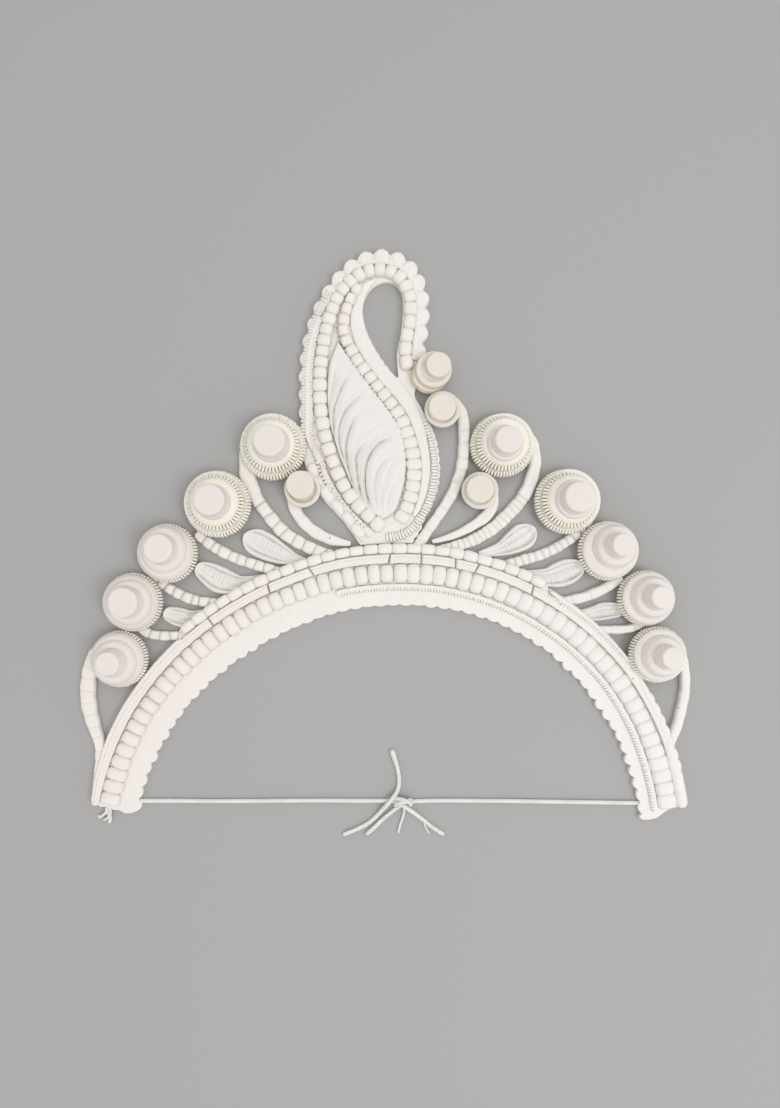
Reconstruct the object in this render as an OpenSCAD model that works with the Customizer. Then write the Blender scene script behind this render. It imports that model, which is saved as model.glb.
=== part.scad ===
// Bridal crown of white pith, lying on its flat back with the front up.
// Millimetres. The crown's top points to +Y, its front to +Z, and the back is at Z = 0.
// The origin is the middle of the crown's outline, on the surface that it lies on.

/* [Sheet and layers] */
// Thickness of the pith sheet that carries everything
sheet_t = 2.6; // [2.2:0.1:2.6]
// Thickness of the stems and petals
stem_t = 3.6; // [3.4:0.1:3.6]
// Thickness of a ribbed disc
disc_t = 3.5; // [2.5:0.1:3.6]
// Glue gap between pieces that lie on each other
gap = 0.1; // [0.05:0.05:0.1]

/* [Head band] */
// Radius of the band's scalloped inner edge
inner_r = 105; // [104.5:0.5:106]
// How far a scallop stands in from that edge
scallop_depth = 1.3; // [0.6:0.1:1.6]
// Number of scallops along the inner edge
scallop_count = 57; // [50:1:64]
// Angle of each leg's end from the crown's middle line
leg_angle = 79; // [78:0.5:80]
// Height of the plain ridge outside the bead row
ridge_h = 2.1; // [1.5:0.1:2.4]
// Height of the thin strips on the sheet
strip_h = 0.9; // [0.7:0.1:0.9]
// Number of pillow beads in each half of the band's row
band_bead_count = 31; // [28:1:33]
// Height of a band bead above the sheet
band_bead_h = 4.4; // [3.5:0.1:5]
// Number of square beads on the band's outer rim
crest_bead_count = 27; // [24:1:28]
// Height of a square bead above the sheet
crest_bead_h = 3.6; // [3:0.1:4]

/* [Paisley] */
// Number of scallops round the paisley's top
paisley_scallops = 20; // [18:1:24]
// Height of such a scallop
paisley_scallop_depth = 1.9; // [1:0.1:2.2]
// Number of beads in the outer row
outer_bead_count = 35; // [32:1:38]
// Number of beads in the inner row
inner_bead_count = 24; // [21:1:26]
// Height of the paisley's beads above the sheet
paisley_bead_h = 4.2; // [3.5:0.1:4.6]
// Height of the carved leaf above the sheet, without its ridges
leaf_body_h = 2.6; // [2:0.1:3]

/* [Tie] */
// Diameter of the cotton cord
cord_d = 1.8; // [1.6:0.1:1.8]

/* [Hidden] */
big_button_count = 5;
petal_count = 3;
sides = ["left", "right"];

// Middle of the outline on the layout below, moved to the origin
outline_middle = [-0.29, -1.88];

// Centre of the band's arc
arc_x = 3.2;
arc_y = -135;

// The hand-made band wanders a little from a true arc: angle from the middle line, shift in radius
band_drift = [
    [-80, 0.3], [-60, 0.5], [-42, -0.4], [-30, -1], [-20, -1.1], [-10, -0.2], [0, 0],
    [10, 0.6], [20, 0.8], [38, 0.7], [50, 0.2], [60, -1.1], [70, -2.6], [80, -4],
];
// Outer edge of the sheet: angle, radius
rim = [
    [-80, 124.8], [-74, 126], [-66, 126.8], [-43.5, 126.8], [-42.8, 129.4], [28.8, 129.4],
    [29.4, 127.6], [45, 126.8], [56, 126], [80, 126],
];
// Line between the ridge and what lies outside it: angle, radius
ridge_line = [
    [-80, 124.4], [-74, 125.6], [-66, 126.4], [-44.5, 126.4], [-43.5, 125.2], [50, 125.2],
    [60, 124.6], [70, 123.4], [80, 123.2],
];
arc_step = 1.25;
// How far the scalloped inner edge wanders besides: angle, shift in radius
inner_drift = [
    [-80, 1.7], [-72, 1.5], [-64, 1], [-48, 0.6], [-40, 0.1], [-16, 0], [-4, -0.3], [8, -0.1],
    [16, 0.4], [24, 0.8], [40, 1.1], [48, 0.6], [56, 0.8], [64, 1.5], [80, 1.8],
];

// Radii of the rows on the band
bead_inner_r = 113.5;
bead_outer_r = 121.1;
ridge_inner_r = 121.3;
crest_inner_r = 125.5;
crest_outer_r = 129.3;
inner_strip_r = 110.4;
inner_strip_start = -12;
strip_clearance = 0.35;
crest_start = -42.3;
crest_end = 28.4;
edge_strip_start = 30;

// Big buttons: place x and y, radius of the ribbed disc; radius of the tier's foot and shoulder,
// height of the shoulder; radius of the step on it, height of its top; how far step and cap are
// glued off the disc's middle in x and y; radius of the cap, height of its top
B_X = 0;
B_Y = 1;
B_DISC_R = 2;
B_TIER_R = 3;
B_SHOULDER_R = 4;
B_SHOULDER_Z = 5;
B_STEP_R = 6;
B_STEP_Z = 7;
B_OFF_X = 8;
B_OFF_Y = 9;
B_CAP_R = 10;
B_CAP_TOP = 11;
big_left = [
    [-45.5, 33.2, 13.4, 11.1, 8.7, 12, 7.2, 14.4, 0.3, -0.3, 6.3, 20],
    [-67.8, 10.2, 13.5, 11.2, 8.6, 12, 7, 14.2, -0.5, -0.2, 6.1, 20],
    [-87.9, -9.6, 12, 11.1, 9.8, 10.8, 8.4, 13, -0.1, 1, 5.7, 19.5],
    [-101.8, -29.3, 11.9, 11, 9.7, 10.8, 8.4, 13, 0.2, -0.1, 5.9, 19.5],
    [-107.2, -52.1, 11.5, 10.6, 9.4, 10.8, 8.1, 13, -0.3, -0.9, 5.4, 19.5],
];
big_right = [
    [46.9, 33.9, 12.9, 11.1, 9, 12, 7.2, 13.6, -0.1, -0.6, 5.4, 20],
    [73.1, 11.3, 13.2, 11.2, 8.9, 12, 7.8, 13.6, 1.1, -0.1, 6, 20],
    [89.5, -8.6, 12, 10.9, 9.6, 9, 8, 12.8, 1.4, 1.4, 4.7, 20],
    [104.7, -27.7, 11.3, 10.3, 9.4, 9, 7.8, 12.8, 1.1, 0.3, 4.7, 20],
    [109.3, -50.4, 11.4, 10.3, 9.3, 9, 7.6, 12.8, 0.5, -0.3, 4.6, 20],
];

// Small buttons, from the bottom step to the top: place x and y, radius, height of the step's top
S_X = 0;
S_Y = 1;
S_R = 2;
S_TOP = 3;
small_left = [[-33.6, 16.2, 7.3, 6.6], [-34.1, 17.2, 5.5, 11]];
small_right = [[37.9, 15.6, 7.4, 6.6], [37.2, 15.4, 5.4, 11.5]];
small_hook = [[17.6, 62.1, 7.3, 6.2], [19.1, 63.4, 7.1, 9.4], [20.6, 64.1, 4.8, 13]];
small_neck = [[22.8, 48.3, 7.2, 6.6], [22.3, 48, 5.3, 11]];

// Stems from the button to the band: x, y, width
W = 2;
stems_left = [
    [[-56.4, 36.5, 4.6], [-56.9, 29.5, 5.6], [-56.1, 22, 6.8], [-54, 16, 6.2], [-51, 10.5, 5.4],
     [-43, 0.5, 5.6], [-37, -4, 5.4], [-29.5, -7.8, 5.2], [-21, -11, 5]],
    [[-77, -1.5, 4.6], [-69.5, -7, 4.8], [-63, -10.5, 4.6], [-56.5, -13, 4.4], [-49, -15.4, 4.4], [-41, -18, 4.4]],
    [[-95, -18.5, 4.4], [-88.5, -23.5, 4.4], [-82, -27, 4.4], [-75.5, -29, 4.2], [-66, -30, 4.2]],
    [[-101, -39, 4], [-96.5, -42, 4], [-91.5, -43, 4], [-86.5, -43, 3.8], [-78, -43, 3.8]],
    [[-117.3, -48.5, 5], [-119.8, -54, 5.8], [-121, -60.5, 6.2], [-121.3, -67, 6.4],
     [-120.5, -73.5, 6.2], [-118.7, -80, 5.4], [-116.6, -86.5, 4.4], [-116, -92.5, 4.6],
     [-116.6, -98.5, 4.4]],
];
stems_right = [
    [[55, 41.6, 4], [58, 38.4, 4.4], [60.2, 34.3, 4.6], [60.9, 28.5, 5], [60, 23, 5.4], [58, 17, 5.6], [54.5, 11.5, 5.6],
     [49.5, 6, 5.6], [43.5, 0.6, 5.4], [35, -4.4, 5], [27, -7, 4.6], [18, -9.4, 4.4]],
    [[83, 3.5, 4.4], [79, -0.5, 4.4], [74, -4.5, 4.4], [68, -8, 4.4], [62, -10.5, 4.4],
     [56, -12.2, 4.6], [46, -15.5, 4.6]],
    [[96, -19.5, 4], [92, -22, 4.2], [87, -24.8, 4.4], [80, -27.5, 4.2], [70, -29.5, 4]],
    [[106, -37, 3.6], [101, -39.6, 3.6], [96, -40.5, 3.6], [91, -40.6, 3.6], [83, -40.8, 3.6]],
    [[116.4, -42.6, 3.6], [119.2, -47.6, 3.8], [121.2, -53.5, 3.8], [122, -60, 3.8], [121.7, -66.5, 3.9],
     [120.3, -73.5, 4], [118.3, -80.5, 4], [114, -90, 4.4]],
];
stem_small_left_route = [
    [-38.5, 15, 4.6], [-37, 9, 5], [-34, 4, 5], [-29.5, -0.2, 5], [-24, -3.2, 4.6],
    [-19, -4.8, 3.8], [-14.2, -5.6, 1.8],
];
stem_small_right_route = [
    [43, 17, 4.2], [43.9, 12.4, 4.6], [41.5, 6.5, 5], [36, 2.1, 4], [29.5, -1.4, 3.2], [24, -3.4, 2.6],
    [18.9, -4.7, 1.6],
];
stem_neck_route = [
    [24, 54.5, 4], [28.4, 51.5, 4.6], [31.4, 46, 4.8], [32, 39, 4.8], [31.8, 31, 4.8],
    [30.5, 23.5, 4.8], [27.5, 15.5, 4.6], [22.6, 7.5, 4.4], [17.7, 0.5, 4.4], [12.7, -7, 4.4],
];

// Petals from the round end to the tip: x, y, width
petals_left = [
    [[-57.6, -1.8, 4], [-54, -4, 10.6], [-48.5, -6.8, 11], [-42, -10, 8.2], [-36.5, -12, 4.6],
     [-31, -13.2, 2.2]],
    [[-77.2, -14.8, 5], [-72.5, -17.4, 9.4], [-67, -20.5, 11], [-60.5, -21.8, 8], [-56, -20.8, 4.4],
     [-49, -18.6, 1.6]],
    [[-90.2, -33.2, 5], [-85.5, -35, 7.6], [-80.5, -35.9, 7.2], [-76, -34.4, 3.8], [-70, -31.8, 1.2]],
];
petals_right = [
    [[60.6, 1, 5], [56.8, -2, 10.8], [52, -5, 9.4], [46.5, -7.8, 5.8], [38, -9.8, 2.4]],
    [[80.6, -14.6, 5], [75.5, -16.4, 10.2], [70, -18.3, 10.2], [65, -19, 7.2], [56, -17.6, 2.4]],
    [[96.5, -32.4, 5.4], [89.5, -32.9, 7.2], [84.5, -34, 6], [76, -34.8, 2.6]],
];

// Outline of the paisley, from the band up the left side, round the hook and down the right
plate_edge = [
    [-8.5, -9], [-13.2, -2], [-17.4, 3.7], [-21.8, 8.5], [-26.2, 13.4], [-30.8, 20.6], [-33.4, 29],
    [-34.6, 38], [-34.4, 48], [-34.4, 63], [-33, 76],
    [-28, 91.5], [-18.5, 105.5], [-7, 112.6], [5, 112], [13.2, 105.5], [16.8, 95], [17, 84],
    [16, 76], [15.4, 69], [14.4, 62], [11.8, 55.4], [14.6, 49.6], [18.2, 43], [21, 35], [22.1, 25.4],
    [21.4, 17.6], [19.4, 11.3], [16.8, 6.2], [15, 2.4], [14.2, 0], [11.9, -3.6], [8.4, -9],
];
edge_steps = 12;
// Part of that outline that is scalloped, as fractions of its run
scallops_from = 0.1882;
scallops_to = 0.7064;
// The drop-shaped hole, clockwise from its top
plate_hole = [
    [0, 101], [4.6, 99.4], [6.8, 95], [7, 88], [6, 79], [4.6, 72], [4.8, 66], [4.9, 62.2], [2, 64.6],
    [-2, 70], [-6.4, 78], [-8.8, 85], [-9, 92], [-5.8, 98.2],
];
// The notched border follows that outline from the band to the end of the hook, and again
// down the right side: parts of its run, its width, and how far it stays inside the outline
border_to = 0.629;
border_w = 3.8;
notched_from = 0.7486;
notched_w = 2.6;
border_inset = 0.5;
// The strip between the bead rows and the hole, and on down the right side
strip_route = [
    [-6.8, 100.6], [-10.6, 95], [-11.6, 89], [-11, 81.5], [-8.8, 75.5], [-4, 68.2], [1, 62.4],
    [5.2, 57.4], [9.6, 51], [13, 45], [15.2, 37.5], [16.4, 28], [16.2, 18.5], [14, 10],
    [10.4, 2], [4, -8.4],
];
strip_w = 3.4;
// The outer bead row, from the end of the hook over the top and down the left side
outer_bead_route = [
    [9, 65], [8, 71], [8.6, 78.5], [9.8, 84], [10.2, 89.5], [9.6, 95], [7.4, 100], [3.5, 103.8],
    [-1.2, 105.2], [-5.8, 105], [-10.6, 103.2], [-15, 99.9], [-18.8, 95.2], [-21.4, 89.5],
    [-23.9, 81.2], [-25.6, 72], [-26.6, 63], [-26.6, 53], [-25.6, 43.5], [-23.4, 33.5],
    [-20.4, 25], [-16.6, 17], [-11.4, 10], [-4.6, 3.4], [-1.2, 0.6],
];
outer_bead_w = 5.2;
// The inner bead row, from under the outer one down the right side of the leaf
inner_bead_route = [
    [-10.4, 98.8], [-14, 93.8], [-16.2, 88], [-17.2, 82], [-16, 76.6], [-11, 67.8], [-5.2, 60.2],
    [1, 52.4], [6, 45.4], [9.2, 37.5], [11.2, 29], [11.2, 19.5], [9, 10], [5.4, 3.4],
];
inner_bead_w = 4.8;
// Outline of the carved leaf, clockwise from its upper tip
leaf_edge = [
    [-19.5, 76], [-12.6, 65.6], [-6, 57], [0.4, 48.6], [5.4, 41], [7.9, 32], [8, 22], [6, 12.6],
    [3.6, 7.4], [-1.2, 4], [-9, 11], [-14.4, 21.6], [-18.6, 32], [-22, 44], [-23, 56], [-22.2, 67],
];
// Hooked ridges carved on the leaf, each from its upper end down to the foot of the leaf
leaf_ridges = [
    [[-20.4, 62], [-20, 50.4], [-17.5, 38.2], [-12.6, 24.6], [-5.8, 10.6]],
    [[-15.6, 57], [-17.4, 48], [-15, 36.3], [-10.2, 21.5], [-4.4, 10]],
    [[-10, 51.6], [-12.6, 44.2], [-10.4, 32], [-5.8, 17.8], [-3.2, 10]],
    [[-3.4, 42.4], [-7.8, 39.4], [-9.2, 35], [-6.6, 22], [-2.4, 9.6]],
    [[0.9, 40], [-4, 37], [-5.8, 32.6], [-4.2, 20], [-1.8, 10.4]],
    [[4.4, 34.6], [-0.3, 32], [-2.2, 27.8], [-1.8, 17], [-0.8, 9.8]],
    [[5, 28.3], [1.4, 25.8], [0.2, 21.5], [0.2, 10.5]],
    [[5.6, 22.6], [3, 20.3], [1.6, 15.4], [1.2, 9.3]],
];
ridge_w = 1;
leaf_ridge_h = 1.2;

// Routes of the cotton cord, lying on the surface: x, y, height of its middle line
lie = 0.9;
tie_left_route = [
    [-109, -110.5, lie], [-99, -110.5, lie], [-86, -110.5, lie], [-73, -110.6, lie],
    [-60, -110.6, lie], [-47, -110.5, lie], [-34, -110.4, lie], [-21, -110.4, lie],
    [-10, -110.5, lie], [-3, -110.5, lie], [2.4, -110.6, lie], [4.8, -111, 2.2], [7, -112, 2.8],
    [9.4, -113.6, 2.4], [12, -115.6, 1.5], [15.5, -118.4, lie], [19, -121.2, lie],
    [24, -124.4, lie],
];
tie_right_route = [
    [113, -111.6, lie], [103, -111.4, lie], [90, -111.2, lie], [77, -111, lie], [64, -110.8, lie],
    [51, -110.6, lie], [38, -110.5, lie], [26, -110.4, lie], [17, -110.5, lie], [11, -110.8, lie],
    [7.6, -111.8, lie], [4.6, -113.4, lie], [2, -115.4, lie], [-1, -117.9, lie],
    [-4.2, -121, lie], [-8, -124.4, lie],
];
tie_tail_route = [
    [2.5, -89.5, lie], [3.6, -93, lie], [4.8, -97, lie], [5.5, -101, lie], [5.4, -104.4, lie],
    [4.4, -107, 1.7], [2.6, -109.2, 2.8], [0.6, -111.6, 2.9], [-1.4, -114, 1.8], [-4, -117, lie],
    [-7.4, -119.8, lie], [-12, -122.2, lie], [-17.5, -124.4, lie],
];
cord_sides = 8;
groove_w = 2.4;
groove_h = 2;
knot_r = 2.6;
knot_h = 1.5;
knot_place = [7, -112.2, 3.85];

pith = [0.95, 0.93, 0.89];
cap_pith = [0.93, 0.9, 0.87];
cotton = [0.97, 0.96, 0.94];

// Curves and strips

function flat2(p) = [p[0], p[1]];
function mixed(a, b, t) = a * (1 - t) + b * t;

// A smooth curve through four neighbours, from b to c
function curve(a, b, c, d, t) =
    0.5 * (2 * b + (c - a) * t + (2 * a - 5 * b + 4 * c - d) * t * t
    + (3 * b - a - 3 * c + d) * t * t * t);
function neighbour(p, i) = p[max(0, min(len(p) - 1, i))];
smooth_steps = 5;
function smooth(p, n = smooth_steps) = concat(
    [for (i = [0:len(p) - 2]) for (k = [0:n - 1])
        curve(neighbour(p, i - 1), p[i], p[i + 1], neighbour(p, i + 2), k / n)],
    [p[len(p) - 1]]);
function smooth_ring(p, n = smooth_steps) =
    let (m = len(p))
    [for (i = [0:m - 1]) for (k = [0:n - 1])
        curve(p[(i + m - 1) % m], p[i], p[(i + 1) % m], p[(i + 2) % m], k / n)];

// Distance along a path at each of its points, and the place and heading at such a distance
function runs(p) =
    [for (i = 0, s = 0; i < len(p);
        s = s + (i + 1 < len(p) ? norm(flat2(p[i + 1]) - flat2(p[i])) : 0), i = i + 1) s];
function last(v) = v[len(v) - 1];
function place_at(p, s) =
    let (r = runs(p))
    [for (axis = [0, 1]) lookup(s, [for (i = [0:len(p) - 1]) [r[i], p[i][axis]]])];
heading_step = 0.5;
function heading_at(p, s) =
    let (v = place_at(p, s + heading_step) - place_at(p, s - heading_step)) atan2(v[1], v[0]);

// The direction across a path, to its left
function across(p, i) =
    let (v = flat2(neighbour(p, i + 1)) - flat2(neighbour(p, i - 1))) [-v[1], v[0]] / norm(v);
function strip_outline(p) = concat(
    [for (i = [0:len(p) - 1]) flat2(p[i]) + across(p, i) * p[i][W] / 2],
    [for (i = [len(p) - 1:-1:0]) flat2(p[i]) - across(p, i) * p[i][W] / 2]);
function with_width(p, w) = [for (q = p) [q[0], q[1], w]];

module slab(outline, low, high) {
    translate([0, 0, low]) linear_extrude(high - low) polygon(outline);
}

// The band

function on_band(a, r) =
    let (true_r = r + lookup(a, band_drift)) [arc_x + true_r * sin(a), arc_y + true_r * cos(a)];
// The ends of a stretch and the steps of one common grid between them
function arc_angles(a, b) =
    let (from = min(a, b), to = max(a, b),
        up = concat([from],
            [for (i = [floor(from / arc_step) + 1:ceil(to / arc_step) - 1]) i * arc_step], [to]))
    a < b ? up : [for (i = [len(up) - 1:-1:0]) up[i]];
function arc_at(r, a, b) = [for (t = arc_angles(a, b)) on_band(t, r)];
function arc_by(table, a, b, more = 0) =
    [for (t = arc_angles(a, b)) on_band(t, lookup(t, table) + more)];
points_per_scallop = 5;
function scalloped_edge() =
    let (n = scallop_count * points_per_scallop)
    [for (i = [0:n])
        let (a = mixed(leg_angle, -leg_angle, i / n))
        on_band(a, inner_r + lookup(a, inner_drift)
            - scallop_depth * abs(sin(180 * i / points_per_scallop)))];

// The space that the band and what is on its rim take, kept free by the pieces that meet it
rim_gap = 0.15;
space_angle = 84;
space_inner_r = 80;
space_top = 10;
module band_space() {
    slab(concat(arc_by(rim, -space_angle, space_angle, rim_gap),
        arc_at(space_inner_r, space_angle, -space_angle)), -1, space_top);
}

// A cut in the back of a leg, in which the end of the cord lies: it runs from the cord's
// end towards the crown's middle line
groove_end_gap = 0.1;
groove_length = 14;
module groove(cord_end, toward) {
    near = cord_end[0] - toward * groove_end_gap;
    translate([min(near, near + toward * groove_length), cord_end[1] - groove_w / 2, -1])
        cube([groove_length, groove_w, groove_h + 1]);
}

// The torn end of the right leg, which hangs a little lower than the rest
leg_flap = [
    [104.2, -112.5], [103.6, -114.6], [103, -116.6], [104.3, -117.8], [107, -117.9], [110.4, -117.1],
    [112.6, -115.3], [115.4, -113.4], [116, -112],
];
module base_arch() {
    color(pith) difference() {
        union() {
            slab(concat(arc_by(rim, -leg_angle, leg_angle), scalloped_edge()), 0, sheet_t);
            slab(leg_flap, 0, sheet_t);
        }
        groove(tie_left_route[0], 1);
        groove(tie_right_route[0], -1);
    }
}

module band_strip(inner, outer, height) {
    color(pith) slab(concat(outer, inner), sheet_t + gap, sheet_t + gap + height);
}

module ridge_strip() {
    difference() {
        band_strip(arc_at(ridge_inner_r, leg_angle, -leg_angle),
            arc_by(ridge_line, -leg_angle, leg_angle), ridge_h);
        disc_space(last(big_right)[B_X], last(big_right)[B_Y], last(big_right)[B_DISC_R]);
    }
}

module inner_strip() {
    band_strip(arc_at(inner_strip_r, leg_angle, inner_strip_start),
        arc_at(bead_inner_r - strip_clearance, inner_strip_start, leg_angle), strip_h);
}

module edge_strip_right() {
    band_strip(arc_by(ridge_line, leg_angle, edge_strip_start, gap),
        arc_by(rim, edge_strip_start, leg_angle, -gap), strip_h);
}

// A bead that lies across its row: flat sides, rounded over its width
bead_side = 0.45;
function bead_profile(w, h) = concat(
    [[w / 2, 0]],
    [for (a = [0:30:180]) [w / 2 * cos(a), h * (bead_side + (1 - bead_side) * sin(a))]],
    [[-w / 2, 0]]);
module bead(w, long, h) {
    rotate([90, 0, 0]) translate([0, 0, -long / 2]) linear_extrude(long) polygon(bead_profile(w, h));
}

thread_h = 0.8;
bead_space = 0.25;
module band_bead_row(a, b, count, inner, outer, h) {
    pitch = (b - a) / count;
    middle_r = (inner + outer) / 2;
    w = middle_r * pitch * PI / 180 - bead_space;
    low = sheet_t + gap;
    color(pith) union() {
        slab(concat(arc_at(outer - 1, a, b), arc_at(inner + 1, b, a)), low, low + thread_h);
        for (i = [0:count - 1]) {
            angle = a + (i + 0.5) * pitch;
            translate(concat(on_band(angle, middle_r), low)) rotate(-angle) bead(w, outer - inner, h);
        }
    }
}

module band_beads_left() {
    band_bead_row(-leg_angle + 0.5, -0.1, band_bead_count, bead_inner_r, bead_outer_r, band_bead_h);
}

module band_beads_right() {
    band_bead_row(0.1, leg_angle - 0.5, band_bead_count, bead_inner_r, bead_outer_r, band_bead_h);
}

module crest_beads() {
    band_bead_row(crest_start, crest_end, crest_bead_count, crest_inner_r, crest_outer_r, crest_bead_h);
}

// The paisley

function scalloped(p, from, to, count, depth) =
    let (r = runs(p), total = last(r))
    [for (i = [0:len(p) - 1])
        let (f = (r[i] / total - from) / (to - from))
        p[i] + across(p, i) * (f < 0 || f > 1 ? 0 : depth * (abs(sin(180 * f * count)) - 0.5))];

module paisley_plate() {
    outline = scalloped(smooth(plate_edge, edge_steps), scallops_from, scallops_to, paisley_scallops,
        paisley_scallop_depth);
    color(pith) difference() {
        slab(outline, 0, sheet_t);
        slab(smooth_ring(plate_hole), -1, sheet_t + 1);
        band_space();
    }
}

// Room kept free on the sheet for a button or a bead row
room_h = 20;
module disc_space(x, y, r) {
    translate([x, y, sheet_t]) cylinder(h = room_h, r = r + gap, $fn = 64);
}

row_clearance = 0.5;
module row_space(route, w) {
    slab(strip_outline(with_width(smooth(route), w + row_clearance)), sheet_t, sheet_t + room_h);
}

module paisley_layer(outline, height) {
    low = sheet_t + gap;
    difference() {
        slab(outline, low, low + height);
        band_space();
        disc_space(big_left[0][B_X], big_left[0][B_Y], big_left[0][B_DISC_R]);
        for (steps = [small_left, small_hook, small_neck])
            disc_space(steps[0][S_X], steps[0][S_Y], steps[0][S_R]);
        row_space(outer_bead_route, outer_bead_w);
        row_space(inner_bead_route, inner_bead_w);
    }
}

// A part of a path's run, moved to its right
function part_of(p, from, to) =
    let (r = runs(p), total = last(r))
    [for (i = [0:len(p) - 1]) if (r[i] >= from * total && r[i] <= to * total) p[i]];
function moved_right(p, by) = [for (i = [0:len(p) - 1]) p[i] - across(p, i) * by];

function edge_strip(from, to, w) =
    let (line = moved_right(smooth(plate_edge), border_inset + w / 2))
    strip_outline(with_width(part_of(line, from, to), w));

module paisley_border() {
    color(pith) paisley_layer(edge_strip(0, border_to, border_w), strip_h);
}

module paisley_strip() {
    color(pith) union() {
        paisley_layer(strip_outline(with_width(smooth(strip_route), strip_w)), strip_h);
        paisley_layer(edge_strip(notched_from, 1, notched_w), strip_h);
    }
}

module bead_row(route, count, across_w, h) {
    path = smooth(route);
    total = last(runs(path));
    pitch = total / count;
    low = sheet_t + gap;
    color(pith) difference() {
        union() {
            slab(strip_outline(with_width(path, across_w - 2)), low, low + thread_h);
            for (i = [0:count - 1]) {
                s = (i + 0.5) * pitch;
                translate(concat(place_at(path, s), low)) rotate(heading_at(path, s))
                    bead(pitch - bead_space, across_w, h);
            }
        }
        disc_space(small_hook[0][S_X], small_hook[0][S_Y], small_hook[0][S_R]);
    }
}

module paisley_beads_outer() {
    bead_row(outer_bead_route, outer_bead_count, outer_bead_w, paisley_bead_h);
}

module paisley_beads_inner() {
    color(pith) difference() {
        bead_row(inner_bead_route, inner_bead_count, inner_bead_w, paisley_bead_h);
        row_space(outer_bead_route, outer_bead_w);
    }
}

module paisley_leaf() {
    low = sheet_t + gap;
    color(pith) difference() {
        union() {
            slab(smooth_ring(leaf_edge), low, low + leaf_body_h);
            for (r = leaf_ridges)
                slab(strip_outline(with_width(smooth(r), ridge_w)), low + leaf_body_h - 1,
                    low + leaf_body_h + leaf_ridge_h);
        }
        row_space(outer_bead_route, outer_bead_w);
        row_space(inner_bead_route, inner_bead_w);
    }
}

// Stems and petals

module stem(route) {
    color(pith) difference() {
        slab(strip_outline(smooth(route)), 0, stem_t);
        band_space();
    }
}

module petal(route) {
    stem(route);
}

// Buttons

bevel = 0.4;
disc_low = stem_t + gap;
module turned(r, low, high) {
    // A turned disc with its top edge eased
    translate([0, 0, low])
        rotate_extrude() polygon([[0, 0], [r, 0], [r, high - low - bevel], [r - bevel, high - low],
            [0, high - low]]);
}

module ribbed_disc(row) {
    color(pith) translate([row[B_X], row[B_Y], 0]) turned(row[B_DISC_R], disc_low, disc_low + disc_t);
}

tier_wall = 0.8;
module cap(row) {
    low = disc_low + disc_t + gap;
    color(cap_pith) translate([row[B_X], row[B_Y], 0]) union() {
        translate([0, 0, low]) rotate_extrude() polygon([[0, 0], [row[B_TIER_R], 0], [row[B_TIER_R], tier_wall],
            [row[B_SHOULDER_R], row[B_SHOULDER_Z] - low], [0, row[B_SHOULDER_Z] - low]]);
        translate([row[B_OFF_X], row[B_OFF_Y], 0]) {
            turned(row[B_STEP_R], low, row[B_STEP_Z]);
            turned(row[B_CAP_R], low, row[B_CAP_TOP]);
        }
    }
}

module small_button(steps) {
    color(cap_pith) union() {
        for (i = [0:len(steps) - 1])
            translate([steps[i][S_X], steps[i][S_Y], 0])
                turned(steps[i][S_R], i == 0 ? disc_low : steps[i - 1][S_TOP] - 1, steps[i][S_TOP]);
    }
}

// The tie

function ring(p, i, d) =
    let (
        ahead = neighbour(p, i + 1) - neighbour(p, i - 1),
        along = ahead / norm(ahead),
        side = cross([0, 0, 1], along) / norm(cross([0, 0, 1], along)),
        up = cross(along, side)
    )
    [for (k = [0:cord_sides - 1])
        let (a = 360 * (k + 0.5) / cord_sides) p[i] + d / 2 * (cos(a) * side + sin(a) * up)];

module cord(route) {
    rings = len(route);
    // The flats lie on the surface, so the corners reach the full diameter
    points = [for (i = [0:rings - 1]) each ring(route, i, cord_d)];
    walls = [for (i = [0:rings - 2]) for (k = [0:cord_sides - 1])
        let (a = i * cord_sides + k, b = i * cord_sides + (k + 1) % cord_sides)
        [a, a + cord_sides, b + cord_sides, b]];
    start = [for (k = [0:cord_sides - 1]) k];
    end = [for (k = [cord_sides - 1:-1:0]) (rings - 1) * cord_sides + k];
    color(cotton) polyhedron(points, concat(walls, [start, end]));
}

module tie_knot() {
    color(cotton) translate(knot_place) turned(knot_r, 0, knot_h);
}

translate([-outline_middle[0], -outline_middle[1], 0]) {
    base_arch();
    ridge_strip();
    inner_strip();
    edge_strip_right();
    band_beads_left();
    band_beads_right();
    crest_beads();
    paisley_plate();
    paisley_border();
    paisley_strip();
    paisley_beads_outer();
    paisley_beads_inner();
    paisley_leaf();
    for (i = [1:big_button_count]) {
        stem(stems_left[i - 1]);
        stem(stems_right[i - 1]);
        ribbed_disc(big_left[i - 1]);
        ribbed_disc(big_right[i - 1]);
        cap(big_left[i - 1]);
        cap(big_right[i - 1]);
    }
    stem(stem_small_left_route);  // stem_small_left
    stem(stem_small_right_route);  // stem_small_right
    stem(stem_neck_route);  // stem_neck
    small_button(small_left);  // button_left
    small_button(small_right);  // button_right
    small_button(small_hook);  // button_hook
    small_button(small_neck);  // button_neck
    for (i = [1:petal_count]) {
        petal(petals_left[i - 1]);
        petal(petals_right[i - 1]);
    }
    cord(tie_left_route);  // tie_left
    cord(tie_right_route);  // tie_right
    cord(tie_tail_route);  // tie_tail
    tie_knot();
}
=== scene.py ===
import math

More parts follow.
